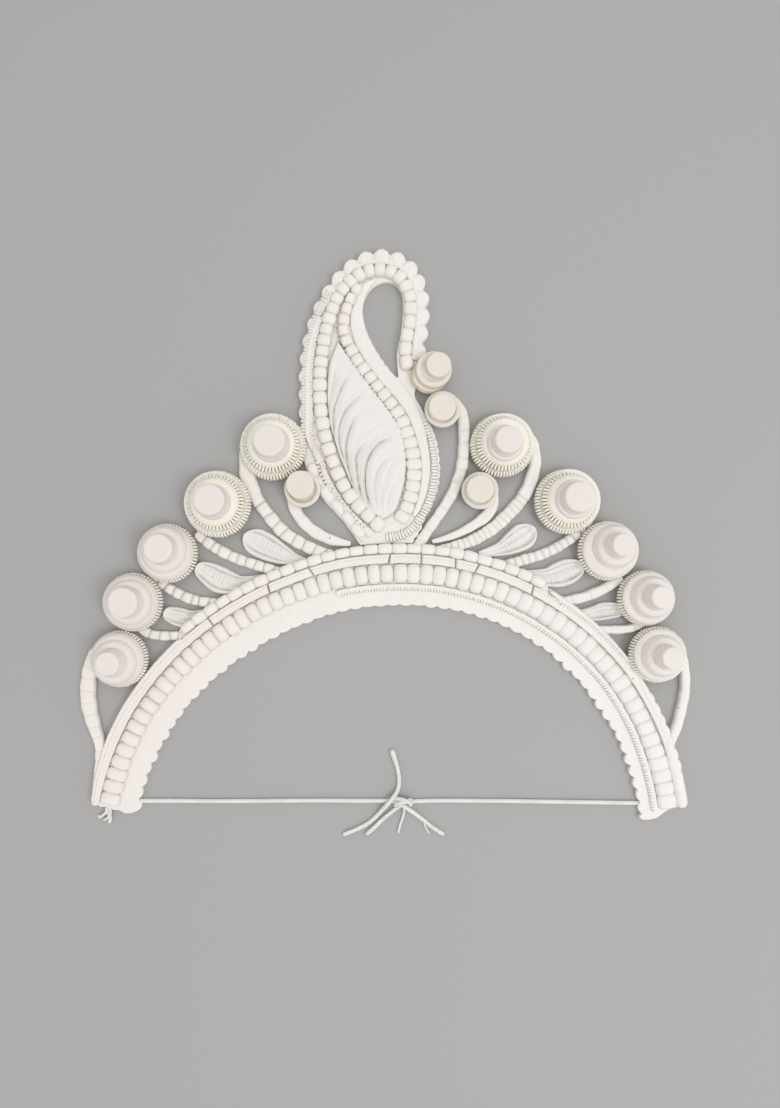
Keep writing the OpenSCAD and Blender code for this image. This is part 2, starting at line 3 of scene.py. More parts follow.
import bmesh
import bpy
import numpy as np
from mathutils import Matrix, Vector


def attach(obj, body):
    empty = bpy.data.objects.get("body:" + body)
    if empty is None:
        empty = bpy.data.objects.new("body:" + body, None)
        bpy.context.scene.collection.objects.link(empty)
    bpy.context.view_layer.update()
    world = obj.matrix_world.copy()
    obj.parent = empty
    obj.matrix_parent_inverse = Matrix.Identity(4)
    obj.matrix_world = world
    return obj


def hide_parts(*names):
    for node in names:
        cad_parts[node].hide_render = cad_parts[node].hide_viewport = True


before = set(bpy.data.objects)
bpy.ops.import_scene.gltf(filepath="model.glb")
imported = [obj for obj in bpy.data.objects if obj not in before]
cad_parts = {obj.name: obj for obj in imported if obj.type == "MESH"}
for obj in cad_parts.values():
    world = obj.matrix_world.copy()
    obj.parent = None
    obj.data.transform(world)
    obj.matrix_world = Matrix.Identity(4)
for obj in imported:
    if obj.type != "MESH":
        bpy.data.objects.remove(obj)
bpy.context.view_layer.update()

# Layout of the crown, in millimetres
MM = 0.001
OUTLINE_MIDDLE = (-0.29, -1.88)
SHEET_TOP = 2.6
LAYER_LOW = 2.7
STEM_TOP = 3.6
BUTTON_LOW = 3.7

# The photograph's frame, seen straight from above
PHOTO_H = 1108
MM_PER_PIXEL = 0.41
PHOTO_MIDDLE = (1.85, -9.6)
EYE = (-8.0, -28.0)
EYE_HEIGHT = 300.0
SENSOR = 36.0
NEAREST_SEEN = 0.01


def spot(x, y, z=0.0):
    """A place of the layout as a point of the frame, in metres."""
    return Vector(((x - OUTLINE_MIDDLE[0]) * MM, (y - OUTLINE_MIDDLE[1]) * MM, z * MM))


def in_frame(points):
    """Layout points, in millimetres, as frame points in metres."""
    moved = np.array(points, float)
    moved[:, 0] -= OUTLINE_MIDDLE[0]
    moved[:, 1] -= OUTLINE_MIDDLE[1]
    return moved * MM


# Camera

def make_camera():
    seen_height = PHOTO_H * MM_PER_PIXEL
    data = bpy.data.cameras.new("camera")
    data.sensor_width = SENSOR
    data.lens = SENSOR * EYE_HEIGHT / seen_height
    data.shift_x = (PHOTO_MIDDLE[0] - EYE[0]) / seen_height
    data.shift_y = (PHOTO_MIDDLE[1] - EYE[1]) / seen_height
    data.clip_start = NEAREST_SEEN
    camera = bpy.data.objects.new("camera", data)
    camera.location = spot(*EYE, EYE_HEIGHT)
    bpy.context.scene.collection.objects.link(camera)
    bpy.context.scene.camera = camera


make_camera()


# Curves

def between(a, b, c, d, steps):
    """Soft curves from each b to its c, led by their neighbours a and d."""
    t = (np.arange(steps) / steps)[None, :, None]
    squared = (2 * a - 5 * b + 4 * c - d) * t**2
    cubed = (3 * b - a - 3 * c + d) * t**3
    return 0.5 * (2 * b + (c - a) * t + squared + cubed)


def smooth(points, steps=6):
    """A soft curve through given points, as the crown's source draws it."""
    p = np.asarray(points, float)
    ends = np.vstack([p[:1], p, p[-1:]])
    four = [ends[k:len(ends) - 3 + k, None, :] for k in range(4)]
    return np.vstack([between(*four, steps).reshape(-1, p.shape[1]), p[-1:]])


def smooth_ring(points, steps=6):
    """The same through the points of a closed outline."""
    p = np.asarray(points, float)
    four = [np.roll(p, shift, 0)[:, None, :] for shift in (1, 0, -1, -2)]
    return between(*four, steps).reshape(-1, p.shape[1])


def run_of(path, dims=2):
    """Distance along a path at each of its points."""
    steps = np.linalg.norm(np.diff(path[:, :dims], axis=0), axis=1)
    return np.concatenate([[0.0], np.cumsum(steps)])


def at_runs(path, runs):
    own = run_of(path)
    return np.column_stack([np.interp(runs, own, column) for column in path.T])


def evenly(path, step):
    """The path with points a step apart, and the distance along it at each."""
    total = run_of(path)[-1]
    runs = np.linspace(0, total, max(3, int(round(total / step)) + 1))
    return at_runs(path, runs), runs


def part_of(path, start, stop):
    """A part of a path between two fractions of its run."""
    total = run_of(path)[-1]
    count = max(8, int(len(path) * (stop - start)))
    return at_runs(path, np.linspace(start * total, stop * total, count))


def left_of(path):
    """The direction to a path's left at each point."""
    ahead = np.gradient(path[:, :2], axis=0)
    ahead /= np.linalg.norm(ahead, axis=1)[:, None]
    return np.column_stack([-ahead[:, 1], ahead[:, 0]])


def moved_left(path, by):
    moved = np.array(path, float)
    moved[:, :2] += left_of(path) * by
    return moved


def with_height(path, z):
    return np.column_stack([path[:, :2], np.full(len(path), float(z))])


def soft_step(value, low, high):
    t = np.clip((value - low) / (high - low), 0, 1)
    return t * t * (3 - 2 * t)


# The band's arc, and how the hand-made band wanders from it: angle, shift in radius

ARC = (3.2, -135.0)
LEG_ANGLE = 79.0
BAND_DRIFT = [
    (-80, 0.3), (-60, 0.5), (-42, -0.4), (-30, -1), (-20, -1.1), (-10, -0.2), (0, 0),
    (10, 0.6), (20, 0.8), (38, 0.7), (50, 0.2), (60, -1.1), (70, -2.6), (80, -4),
]
RIM = [
    (-80, 124.8), (-74, 126), (-66, 126.8), (-43.5, 126.8), (-42.8, 129.4), (28.8, 129.4),
    (29.4, 127.6), (45, 126.8), (56, 126), (80, 126),
]
RIDGE_LINE = [
    (-80, 124.4), (-74, 125.6), (-66, 126.4), (-44.5, 126.4), (-43.5, 125.2), (50, 125.2),
    (60, 124.6), (70, 123.4), (80, 123.2),
]
# How far the scalloped inner edge wanders besides
INNER_DRIFT = [
    (-80, 1.7), (-72, 1.5), (-64, 1), (-48, 0.6), (-40, 0.1), (-16, 0), (-4, -0.3), (8, -0.1),
    (16, 0.4), (24, 0.8), (40, 1.1), (48, 0.6), (56, 0.8), (64, 1.5), (80, 1.8),
]
INNER_R = 105.0
SCALLOP_DEPTH = 1.3
SCALLOP_COUNT = 57
BEAD_INNER_R = 113.5
BEAD_OUTER_R = 121.1
BEAD_MIDDLE_R = (BEAD_INNER_R + BEAD_OUTER_R) / 2
RIDGE_INNER_R = 121.3
CREST_INNER_R = 125.5
CREST_OUTER_R = 129.3
INNER_STRIP_R = 110.4
INNER_STRIP_START = -12.0


def from_table(table, angle):
    return np.interp(angle, [row[0] for row in table], [row[1] for row in table])


def on_band(angle, radius):
    """Places on the band at an angle from its middle line and a radius."""
    angle = np.asarray(angle, float)
    true_radius = radius + from_table(BAND_DRIFT, angle)
    turned_by = np.radians(angle)
    return np.column_stack([
        ARC[0] + true_radius * np.sin(turned_by), ARC[1] + true_radius * np.cos(turned_by)])


def band_path(radius, start, stop, step=0.25):
    angles = np.linspace(start, stop, int(abs(stop - start) / step) + 1)
    return on_band(angles, radius), angles


# The worn outer edge of the right leg waves: angles where that begins and fades out, a wave's
# length in degrees, and its depth
WAVES_BEGIN = (54, 57)
WAVES_FADE = (71, 74)
WAVE_START = 56
WAVE_LENGTH = 2.3
WAVE_DEPTH = 0.8


def worn_waves(angles):
    lobes = np.abs(np.sin(np.pi * (angles - WAVE_START) / WAVE_LENGTH)) - 0.3
    return WAVE_DEPTH * lobes * soft_step(angles, *WAVES_BEGIN) * (1 - soft_step(angles, *WAVES_FADE))


# Finishes

def add_node(tree, kind, inputs=None, **settings):
    """Adds a node, sets it, and joins or fills its inputs."""
    node = tree.nodes.new(kind)
    for name, value in settings.items():
        setattr(node, name, value)
    for key, value in (inputs or {}).items():
        if isinstance(value, bpy.types.NodeSocket):
            tree.links.new(value, node.inputs[key])
        else:
            node.inputs[key].default_value = value
    return node


def maths(tree, operation, a, b=None):
    inputs = {0: a} if b is None else {0: a, 1: b}
    return add_node(tree, "ShaderNodeMath", inputs, operation=operation).outputs[0]


def blend_colours(tree, factor, a, b):
    return add_node(tree, "ShaderNodeMix", {0: factor, 6: a, 7: b}, data_type="RGBA").outputs[2]


def in_range(tree, value, low, high):
    """0 at low, 1 at high, and a straight ramp between."""
    inputs = {"Value": value, "From Min": low, "From Max": high}
    return add_node(tree, "ShaderNodeMapRange", inputs, clamp=True).outputs["Result"]


def shader_group(name, inputs, outputs):
    tree = bpy.data.node_groups.new(name, "ShaderNodeTree")
    for label, value in inputs:
        tree.interface.new_socket(label, in_out="INPUT", socket_type="NodeSocketFloat").default_value = value
    for label in outputs:
        tree.interface.new_socket(label, in_out="OUTPUT", socket_type="NodeSocketFloat")
    return tree, tree.nodes.new("NodeGroupInput").outputs, tree.nodes.new("NodeGroupOutput").inputs


def object_place(tree):
    return add_node(tree, "ShaderNodeTexCoord").outputs["Object"]


def noise(tree, place, scale, detail, roughness=0.5):
    inputs = {"Vector": place, "Scale": scale, "Detail": detail, "Roughness": roughness}
    return add_node(tree, "ShaderNodeTexNoise", inputs).outputs["Fac"]


def attribute(tree, name):
    return add_node(tree, "ShaderNodeAttribute", attribute_name=name).outputs["Fac"]


def share_of(tree, value, share):
    return maths(tree, "MULTIPLY", value, share)


# How many cells, fibres and cloudy patches the pith has in a metre, and how they add up
PITH_CELLS = 2600.0
PITH_FIBRES = 900.0
PITH_CLOUDS = 90.0
FIBRE_STRETCH = (1.0, 0.22, 1.0)
GRAIN_RANGE = (0.36, 0.64)
FIBRE_HEIGHT = 0.65
CELL_HEIGHT = 0.35


def make_pith_grain():
    """Fine cells, soft fibres and cloudy patches of cut pith."""
    scales = [("Cell Scale", PITH_CELLS), ("Fibre Scale", PITH_FIBRES), ("Cloud Scale", PITH_CLOUDS)]
    tree, given, put = shader_group("pith_grain", scales, ["Tone", "Height"])
    place = object_place(tree)
    stretched = add_node(tree, "ShaderNodeMapping", {"Vector": place, "Scale": FIBRE_STRETCH}).outputs[0]
    cells = add_node(tree, "ShaderNodeTexVoronoi", {"Vector": place, "Scale": given["Cell Scale"]})
    fibres = noise(tree, stretched, given["Fibre Scale"], 4.0, 0.6)
    clouds = noise(tree, place, given["Cloud Scale"], 3.0, 0.55)
    both = share_of(tree, maths(tree, "ADD", fibres, clouds), 0.5)
    tree.links.new(in_range(tree, both, *GRAIN_RANGE), put["Tone"])
    low_cells = share_of(tree, cells.outputs["Distance"], CELL_HEIGHT)
    height = maths(tree, "ADD", share_of(tree, fibres, FIBRE_HEIGHT), low_cells)
    tree.links.new(height, put["Height"])
    return tree


# Seams: the scale of the cloudy edge of their glue and how far that breaks up a seam, then the values between
# which the glue tint, which also paints shade, the nearness of a seam and the dark line of painted shade
# begin and are full
GLUE_CLOUDS = 260.0
GLUE_BREAKS_UP = 0.9
SHADE_LINE_BREAKS_UP = 0.4
GLUE_RANGE = (0.25, 0.85)
NEAR_SEAM = (0.02, 0.3)
SHADE_LINE_RANGE = (0.72, 0.98)


def make_glue_and_shade_mask():
    """Where glue has soaked into a seam, with painted shade in its tint, and a dark line of painted shade in
    the seam: the seam's own value, broken up by a cloudy edge.
    """
    tree, given, put = shader_group("glue_and_painted_shade_in_seams", [("Seam", 0.0), ("Spread", 0.5)], ["Glue", "Line"])
    clouds = noise(tree, object_place(tree), GLUE_CLOUDS, 2.0)
    edge = share_of(tree, maths(tree, "SUBTRACT", clouds, 0.5), GLUE_BREAKS_UP)
    spread = maths(tree, "SUBTRACT", given["Spread"], 0.5)
    wide = maths(tree, "ADD", maths(tree, "ADD", given["Seam"], edge), spread)
    by_seam = in_range(tree, given["Seam"], *NEAR_SEAM)
    glue = maths(tree, "MULTIPLY", in_range(tree, wide, *GLUE_RANGE), by_seam)
    line = maths(tree, "ADD", given["Seam"], share_of(tree, edge, SHADE_LINE_BREAKS_UP))
    tree.links.new(glue, put["Glue"])
    tree.links.new(in_range(tree, line, *SHADE_LINE_RANGE), put["Line"])
    return tree


def make_specks():
    """Small dark pin pricks and bits of bark, here and there."""
    sizes = [("Scale", 170.0), ("Size", 0.06), ("Share", 0.2)]
    tree, given, put = shader_group("pin_specks", sizes, ["Speck"])
    cells = add_node(tree, "ShaderNodeTexVoronoi", {"Vector": object_place(tree), "Scale": given["Scale"]})
    near = maths(tree, "LESS_THAN", cells.outputs["Distance"], given["Size"])
    pick = add_node(tree, "ShaderNodeSeparateColor", {0: cells.outputs["Color"]}).outputs[0]
    picked = maths(tree, "LESS_THAN", pick, given["Share"])
    tree.links.new(maths(tree, "MULTIPLY", near, picked), put["Speck"])
    return tree


# Distance from the crown's middle to where its ageing is full, in metres
AGEING_REACH = 0.11
AGEING_RANGE = (0.1, 1.0)


def make_ageing():
    """The crown's left leg has gone a little pink, and its right leg has stayed a cool white."""
    tree, given, put = shader_group("uneven_ageing", [("Reach", AGEING_REACH)], ["Pink", "Cool"])
    across = add_node(tree, "ShaderNodeSeparateXYZ", {0: object_place(tree)}).outputs[0]
    rightward = maths(tree, "DIVIDE", across, given["Reach"])
    leftward = share_of(tree, rightward, -1.0)
    tree.links.new(in_range(tree, leftward, *AGEING_RANGE), put["Pink"])
    tree.links.new(in_range(tree, rightward, *AGEING_RANGE), put["Cool"])
    return tree


PITH_GRAIN = make_pith_grain()
GLUE_AND_SHADE_MASK = make_glue_and_shade_mask()
PIN_SPECKS = make_specks()
AGEING = make_ageing()

WHITE = (0.89, 0.86, 0.825, 1)
WHITE_SHADED = (0.85, 0.815, 0.775, 1)
PINK_WHITE = (0.87, 0.805, 0.775, 1)
COOL_WHITE = (0.87, 0.86, 0.85, 1)
# The cream of glue in seams, which also paints shade there, and the grey of the painted shade in seams
GLUE_CREAM_AND_SHADE = (0.78, 0.72, 0.6, 1)
SEAM_SHADE_GREY = (0.4, 0.37, 0.33, 1)
SPECK_BROWN = (0.16, 0.13, 0.1, 1)

# Pith: its roughness and how far that swings with the grain, its gloss, how much light sinks in and
# how far in red, green and blue, how deep the grain is, how much a piece's own tone counts, which sum
# of tones is the darkest, and how strong a speck is
PITH_ROUGHNESS = 0.78
ROUGHNESS_SWING = 0.12
PITH_GLOSS = 0.28
LIGHT_SINKS_IN = 0.3
LIGHT_COLOURS = (1.0, 0.85, 0.7)
LIGHT_DEPTH = 0.0012
GRAIN_DEPTH = 0.00025
PIECE_TONE = 0.6
DARKEST_TONE = 1.5
SPECK_STRENGTH = 0.7


def place_group(tree, group, inputs=None):
    return add_node(tree, "ShaderNodeGroup", inputs, node_tree=group).outputs


def begin_finish(name):
    """A new material, its tree and its shader's inputs."""
    material = bpy.data.materials.new(name)
    material.use_nodes = True
    return material, material.node_tree, material.node_tree.nodes["Principled BSDF"].inputs


def finish(name, light, dark, glue, line, spread=0.5, ageing=0.5, cell=PITH_CELLS, fibre=PITH_FIBRES,
           bump=0.35, speck_share=0.1):
    """A pith finish: two tones of the cut surface, the tint of its glue, which also paints shade in the
    seams, and a dark line of painted shade in its seams.
    """
    material, tree, shader = begin_finish(name)
    grain = place_group(tree, PITH_GRAIN, {"Cell Scale": cell, "Fibre Scale": fibre})
    glue_and_shade = place_group(tree, GLUE_AND_SHADE_MASK, {"Seam": attribute(tree, "seam"), "Spread": spread})
    specks = place_group(tree, PIN_SPECKS, {"Share": speck_share})
    aged = place_group(tree, AGEING)
    own_tone = share_of(tree, attribute(tree, "tone"), PIECE_TONE)
    tone = in_range(tree, maths(tree, "ADD", grain["Tone"], own_tone), 0.0, DARKEST_TONE)
    colour = blend_colours(tree, tone, light, dark)
    for mask, tint in (
            (share_of(tree, aged["Pink"], ageing), PINK_WHITE),
            (share_of(tree, aged["Cool"], ageing), COOL_WHITE),
            (glue_and_shade["Glue"], glue),
            (glue_and_shade["Line"], line),
            (share_of(tree, specks["Speck"], SPECK_STRENGTH), SPECK_BROWN)):
        colour = blend_colours(tree, mask, colour, tint)
    bumped = add_node(tree, "ShaderNodeBump", {
        "Height": grain["Height"], "Strength": bump, "Distance": GRAIN_DEPTH})
    smoothest = -PITH_ROUGHNESS / ROUGHNESS_SWING
    roughest = (1 - PITH_ROUGHNESS) / ROUGHNESS_SWING
    tree.links.new(colour, shader["Base Color"])
    tree.links.new(in_range(tree, grain["Tone"], smoothest, roughest), shader["Roughness"])
    tree.links.new(bumped.outputs["Normal"], shader["Normal"])
    shader["Specular IOR Level"].default_value = PITH_GLOSS
    shader["Subsurface Weight"].default_value = LIGHT_SINKS_IN
    shader["Subsurface Radius"].default_value = LIGHT_COLOURS
    shader["Subsurface Scale"].default_value = LIGHT_DEPTH
    return material


COTTON_WHITE = (0.9, 0.89, 0.87, 1)
COTTON_SHADED = (0.82, 0.81, 0.79, 1)
COTTON_STRAND_SHADE = (0.5, 0.48, 0.45, 1)
COTTON_LINT = (0.96, 0.95, 0.94, 1)
LINT_SCALE = 4200.0
COTTON_CLOUDS = 160.0


def make_cotton():
    """Soft white cotton with fine lint along its strands, and painted shade in the grooves between them."""
    material, tree, shader = begin_finish("soft_cotton")
    place = object_place(tree)
    lint = noise(tree, place, LINT_SCALE, 3.0)
    patches = in_range(tree, noise(tree, place, COTTON_CLOUDS, 2.0), 0.35, 0.65)
    colour = blend_colours(tree, patches, COTTON_WHITE, COTTON_SHADED)
    colour = blend_colours(tree, share_of(tree, attribute(tree, "seam"), 0.45), colour, COTTON_STRAND_SHADE)
    colour = blend_colours(tree, in_range(tree, lint, 0.62, 0.8), colour, COTTON_LINT)
    bumped = add_node(tree, "ShaderNodeBump", {"Height": lint, "Strength": 0.6, "Distance": 0.0003})
    tree.links.new(colour, shader["Base Color"])
    tree.links.new(bumped.outputs["Normal"], shader["Normal"])
    shader["Roughness"].default_value = 0.9
    shader["Specular IOR Level"].default_value = 0.2
    return material


# Dark holes; the same finish paints the shadow in one gap of the paisley
HOLE_DARK = (0.1, 0.085, 0.065, 1)
HOLE_BROWN = (0.3, 0.26, 0.2, 1)


def make_pinhole_and_shadow_finish():
    material, tree, shader = begin_finish("pin_holes_and_painted_shadow")
    patches = in_range(tree, noise(tree, object_place(tree), 900.0, 2.0), 0.35, 0.65)
    tree.links.new(blend_colours(tree, patches, HOLE_DARK, HOLE_BROWN), shader["Base Color"])
    shader["Roughness"].default_value = 0.95
    return material


# Each finish: its two tones, the tint of its glue, which also paints shade, and the dark of the painted shade
# in its seams
SHEET = finish("pith_sheet", WHITE, WHITE_SHADED, GLUE_CREAM_AND_SHADE, SEAM_SHADE_GREY, spread=0.4, fibre=700.0)
BEAD = finish("pith_beads", WHITE, WHITE_SHADED, (0.82, 0.78, 0.72, 1), (0.8, 0.765, 0.705, 1), spread=0.4)
PALE_BEAD = finish(
    "pale_pith_beads", (0.89, 0.865, 0.835, 1), (0.86, 0.83, 0.795, 1), (0.86, 0.83, 0.79, 1),
    (0.82, 0.785, 0.74, 1), spread=0.35)
RIDGE = finish("pith_ridges", (0.88, 0.85, 0.81, 1), (0.84, 0.8, 0.76, 1), (0.79, 0.745, 0.67, 1), SEAM_SHADE_GREY)
STEM = finish(
    "pith_stems", WHITE, (0.85, 0.82, 0.77, 1), (0.83, 0.78, 0.69, 1), (0.58, 0.53, 0.45, 1),
    speck_share=0.25)
LEAF = finish(
    "carved_leaf", (0.86, 0.835, 0.81, 1), (0.82, 0.795, 0.77, 1), (0.72, 0.7, 0.66, 1),
    (0.36, 0.33, 0.29, 1), ageing=0.2, fibre=500.0)
RIBS = finish(
    "ribbed_pith", (0.925, 0.89, 0.8, 1), (0.9, 0.855, 0.745, 1), (0.87, 0.815, 0.67, 1),
    (0.7, 0.625, 0.45, 1), spread=0.45, ageing=0.15)
CAP = finish(
    "turned_pith", (0.825, 0.775, 0.745, 1), (0.79, 0.735, 0.7, 1), (0.76, 0.7, 0.63, 1),
    (0.62, 0.56, 0.5, 1), spread=0.4, ageing=0.15, cell=3400.0, fibre=1200.0, bump=0.2, speck_share=0.03)
SMALL_CAP = finish(
    "small_turned_pith", (0.81, 0.765, 0.7, 1), (0.76, 0.715, 0.635, 1), (0.72, 0.66, 0.53, 1),
    (0.45, 0.39, 0.3, 1), spread=0.4, ageing=0.12, cell=3400.0, fibre=1200.0, bump=0.2, speck_share=0.04)
COTTON = make_cotton()
PINHOLE_AND_SHADOW = make_pinhole_and_shadow_finish()


# Making pieces

# Points nearer than this, in metres, are one point
ONE_POINT = 1e-6
ONE_SHEET_POINT = 2e-6
# A sheet's faces whose normals point up or down more than this stay flat
LEVEL = 0.98


def mended(mesh, within):
    """A mesh to work on, with its doubles merged and its faces turned outwards."""
    work = bmesh.new()
    work.from_mesh(mesh)
    bmesh.ops.remove_doubles(work, verts=work.verts, dist=within)
    bmesh.ops.recalc_face_normals(work, faces=work.faces)
    return work


def shade_smooth(mesh):
    mesh.polygons.foreach_set("use_smooth", [True] * len(mesh.polygons))


def make_mesh(name, points, faces, material, seam):
    """A closed mesh from layout points, with the mask of its seams."""
    mesh = bpy.data.meshes.new(name)
    mesh.from_pydata(in_frame(points).tolist(), [], faces)
    mesh.materials.append(material)
    values = np.clip(np.asarray(seam, float).ravel(), 0, 1)
    mesh.attributes.new("seam", "FLOAT", "POINT").data.foreach_set("value", values)
    mesh.attributes.new("tone", "FLOAT", "POINT")
    work = mended(mesh, ONE_POINT)
    work.to_mesh(mesh)
    work.free()
    shade_smooth(mesh)
    return mesh


def make_piece(name, meshes, nodes):
    """Joins meshes into one piece, which stands for its CAD nodes."""
    parts = []
    for mesh in meshes:
        part = bpy.data.objects.new(name, mesh)
        bpy.context.scene.collection.objects.link(part)
        parts.append(part)
    if len(parts) > 1:
        bpy.ops.object.select_all(action="DESELECT")
        for part in parts:
            part.select_set(True)
        bpy.context.view_layer.objects.active = parts[0]
        bpy.ops.object.join()
    piece = parts[0]
    piece.name = name
    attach(piece, "root")
    if nodes:
        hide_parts(*nodes)
    return piece


def loft(sections):
    """Skin over like sections of points: each section is closed, and so are the ends."""
    count, around = sections.shape[:2]
    faces = []
    for i in range(count - 1):
        here, ahead = i * around, (i + 1) * around
        for k in range(around):
            after = (k + 1) % around
            faces.append((here + k, here + after, ahead + after, ahead + k))
    faces.append(tuple(range(around)))
    faces.append(tuple((count - 1) * around + k for k in range(around)))
    return sections.reshape(-1, 3), faces


# From one cut to the next, the phase of their slant moves on by this
SLANT_STEP = 2.4


def cut_mask(run, across, cuts, half_width, slant=0.0):
    """1 in the middle of a cut and 0 away from the cuts, which may run a little aslant."""
    if len(cuts) == 0:
        return np.zeros((len(run), len(across)))
    cuts = np.asarray(cuts, float)
    lean = slant * np.sin(np.arange(len(cuts)) * SLANT_STEP)
    places = cuts[None, None, :] + across[None, :, None] * lean[None, None, :]
    away = np.abs(run[:, None, None] - places).min(axis=2)
    return np.exp(-(away / half_width) ** 2)


def spaced(total, pitch, start=0.0, stop=None, uneven=0.0, seed=1):
    """Places of cuts along a run, a pitch apart, with the hand's small errors."""
    stop = total if stop is None else stop
    places = np.arange(start, stop, pitch)
    return places + np.random.default_rng(seed).normal(0, uneven * pitch, len(places))


# Share of its width that a softened strip has at its very end
BLUNT_END = 0.45


def strip_mesh(name, path, width, low, high, material, step=0.35, shape=4.0, across=11, cuts=(),
               cut_half=0.28, cut_depth=0.5, pinch=0.0, puff=0.0, puff_half=1.0, slant=0.0, edge_glue_and_shade=0.0,
               relief=None, line=0.75, cut_side=0, wave=None, soft_end=0.0, tint=None):
    """A strip of pith along a path: rounded over its width, with cuts across it. Across it, u runs from
    -1 on its right to 1 on its left. A negative soft_end softens only the end where the path begins."""
    path = np.column_stack([path[:, :2], np.broadcast_to(width, len(path))])
    path, run = evenly(path, step)
    side = left_of(path)
    u = np.sin(np.linspace(-1, 1, across) * math.pi / 2)
    mask = cut_mask(run, u, cuts, cut_half, slant)
    wide = cut_mask(run, u, cuts, puff_half, slant)
    if cut_side:
        mask = mask * soft_step(u * cut_side, -0.1, 0.25)
    crown = np.clip(1 - np.abs(u) ** shape, 0, 1) ** (1 / shape)
    half = path[:, 2] / 2 * (1 - pinch * wide[:, across // 2])
    if soft_end:
        from_end = np.minimum(run, run[-1] - run) if soft_end > 0 else run
        inward = np.clip(from_end / abs(soft_end), 0, 1)
        half = half * (BLUNT_END + (1 - BLUNT_END) * np.sqrt(1 - (1 - inward) ** 2))
    sections = np.zeros((len(path), across, 3))
    reach = u[None, :] * half[:, None]
    if wave is not None:
        reach = reach + np.maximum(u[None, :], 0) * wave(run)[:, None]
    sections[:, :, :2] = path[:, None, :2] + side[:, None, :] * reach[:, :, None]
    height = (high - low) * crown[None, :] * (1 - cut_depth * mask - puff * wide)
    if relief is not None:
        height = height + relief(run[:, None], u[None, :], half[:, None]) * (crown[None, :] > 0)
    sections[:, :, 2] = low + np.maximum(height, 0)
    # The seam mask: painted shade in the cuts, glue tint with painted shade along the sides, and the painted
    # shade that tint adds
    seam = np.maximum(mask * line, edge_glue_and_shade * (1 - crown[None, :]))
    if tint is not None:
        seam = np.maximum(seam, tint(run[:, None], u[None, :], half[:, None]))
    points, faces = loft(sections)
    return make_mesh(name, points, faces, material, seam)


def cut_sheet(name, outlines, low, high, ease, material):
    """A flat sheet cut along outlines, with its edges eased."""
    curve = bpy.data.curves.new(name, "CURVE")
    curve.dimensions = "2D"
    curve.fill_mode = "BOTH"
    curve.extrude = ((high - low) / 2 - ease) * MM
    curve.bevel_depth = ease * MM
    curve.bevel_resolution = 2
    curve.offset = -ease * MM
    for outline in outlines:
        places = in_frame(with_height(np.asarray(outline, float), 0.0))
        spline = curve.splines.new("POLY")
        spline.points.add(len(places) - 1)
        flat = np.column_stack([places, np.ones(len(places))])
        spline.points.foreach_set("co", flat.ravel())
        spline.use_cyclic_u = True
    holder = bpy.data.objects.new(name, curve)
    bpy.context.scene.collection.objects.link(holder)
    graph = bpy.context.evaluated_depsgraph_get()
    mesh = bpy.data.meshes.new_from_object(holder.evaluated_get(graph))
    bpy.data.objects.remove(holder)
    work = mended(mesh, ONE_SHEET_POINT)
    bmesh.ops.translate(work, verts=work.verts, vec=(0, 0, (low + high) / 2 * MM))
    for face in work.faces:
        face.smooth = abs(face.normal.z) < LEVEL
    work.to_mesh(mesh)
    work.free()
    mesh.materials.clear()
    mesh.materials.append(material)
    mesh.attributes.new("seam", "FLOAT", "POINT")
    mesh.attributes.new("tone", "FLOAT", "POINT")
    return mesh


# Rows of like pieces along a path: pillow beads, square beads, ribs, teeth and pin holes

ROW_INPUTS = [
    ("Count", "NodeSocketInt", 20), ("Width", "NodeSocketFloat", 0.004),
    ("Length", "NodeSocketFloat", 0.007), ("Height", "NodeSocketFloat", 0.004),
    ("Squareness", "NodeSocketFloat", 5.0), ("Fullness", "NodeSocketFloat", 3.2),
    ("Joint", "NodeSocketFloat", 0.4), ("Slope", "NodeSocketFloat", 0.0), ("Detail", "NodeSocketInt", 7),
    ("Unevenness", "NodeSocketFloat", 0.04), ("Turn", "NodeSocketFloat", 0.03), ("Seed", "NodeSocketInt", 1),
    ("Material", "NodeSocketMaterial", None),
]
# How far the seam at a bead's foot, where glue tint and the painted shade of the gap between beads go,
# reaches up past where neighbours meet, and the height over which it fades out there, as shares of a bead's
# height
SEAM_ABOVE_JOINT = 0.13
SEAM_FADE = 0.15
# What a row's seed is raised by for the turn and for the tone of its pieces
TURN_SEED = 17.0
TONE_SEED = 31.0


def on_each_axis(tree, operation, vector, amount=None):
    axes = add_node(tree, "ShaderNodeSeparateXYZ", {0: vector}).outputs
    return [maths(tree, operation, axis, amount) for axis in axes]


def vector_of(tree, x, y, z):
    return add_node(tree, "ShaderNodeCombineXYZ", {0: x, 1: y, 2: z}).outputs[0]


def store_value(tree, geometry, name, value):
    inputs = {"Geometry": geometry, "Name": name, "Value": value}
    return add_node(
        tree, "GeometryNodeStoreNamedAttribute", inputs, data_type="FLOAT", domain="POINT").outputs[0]


def read_value(tree, name):
    return add_node(
        tree, "GeometryNodeInputNamedAttribute", {"Name": name}, data_type="FLOAT").outputs["Attribute"]


def random_vector(tree, low, high, seed):
    inputs = {0: low, 1: high, "Seed": seed}
    return add_node(tree, "FunctionNodeRandomValue", inputs, data_type="FLOAT_VECTOR").outputs[0]


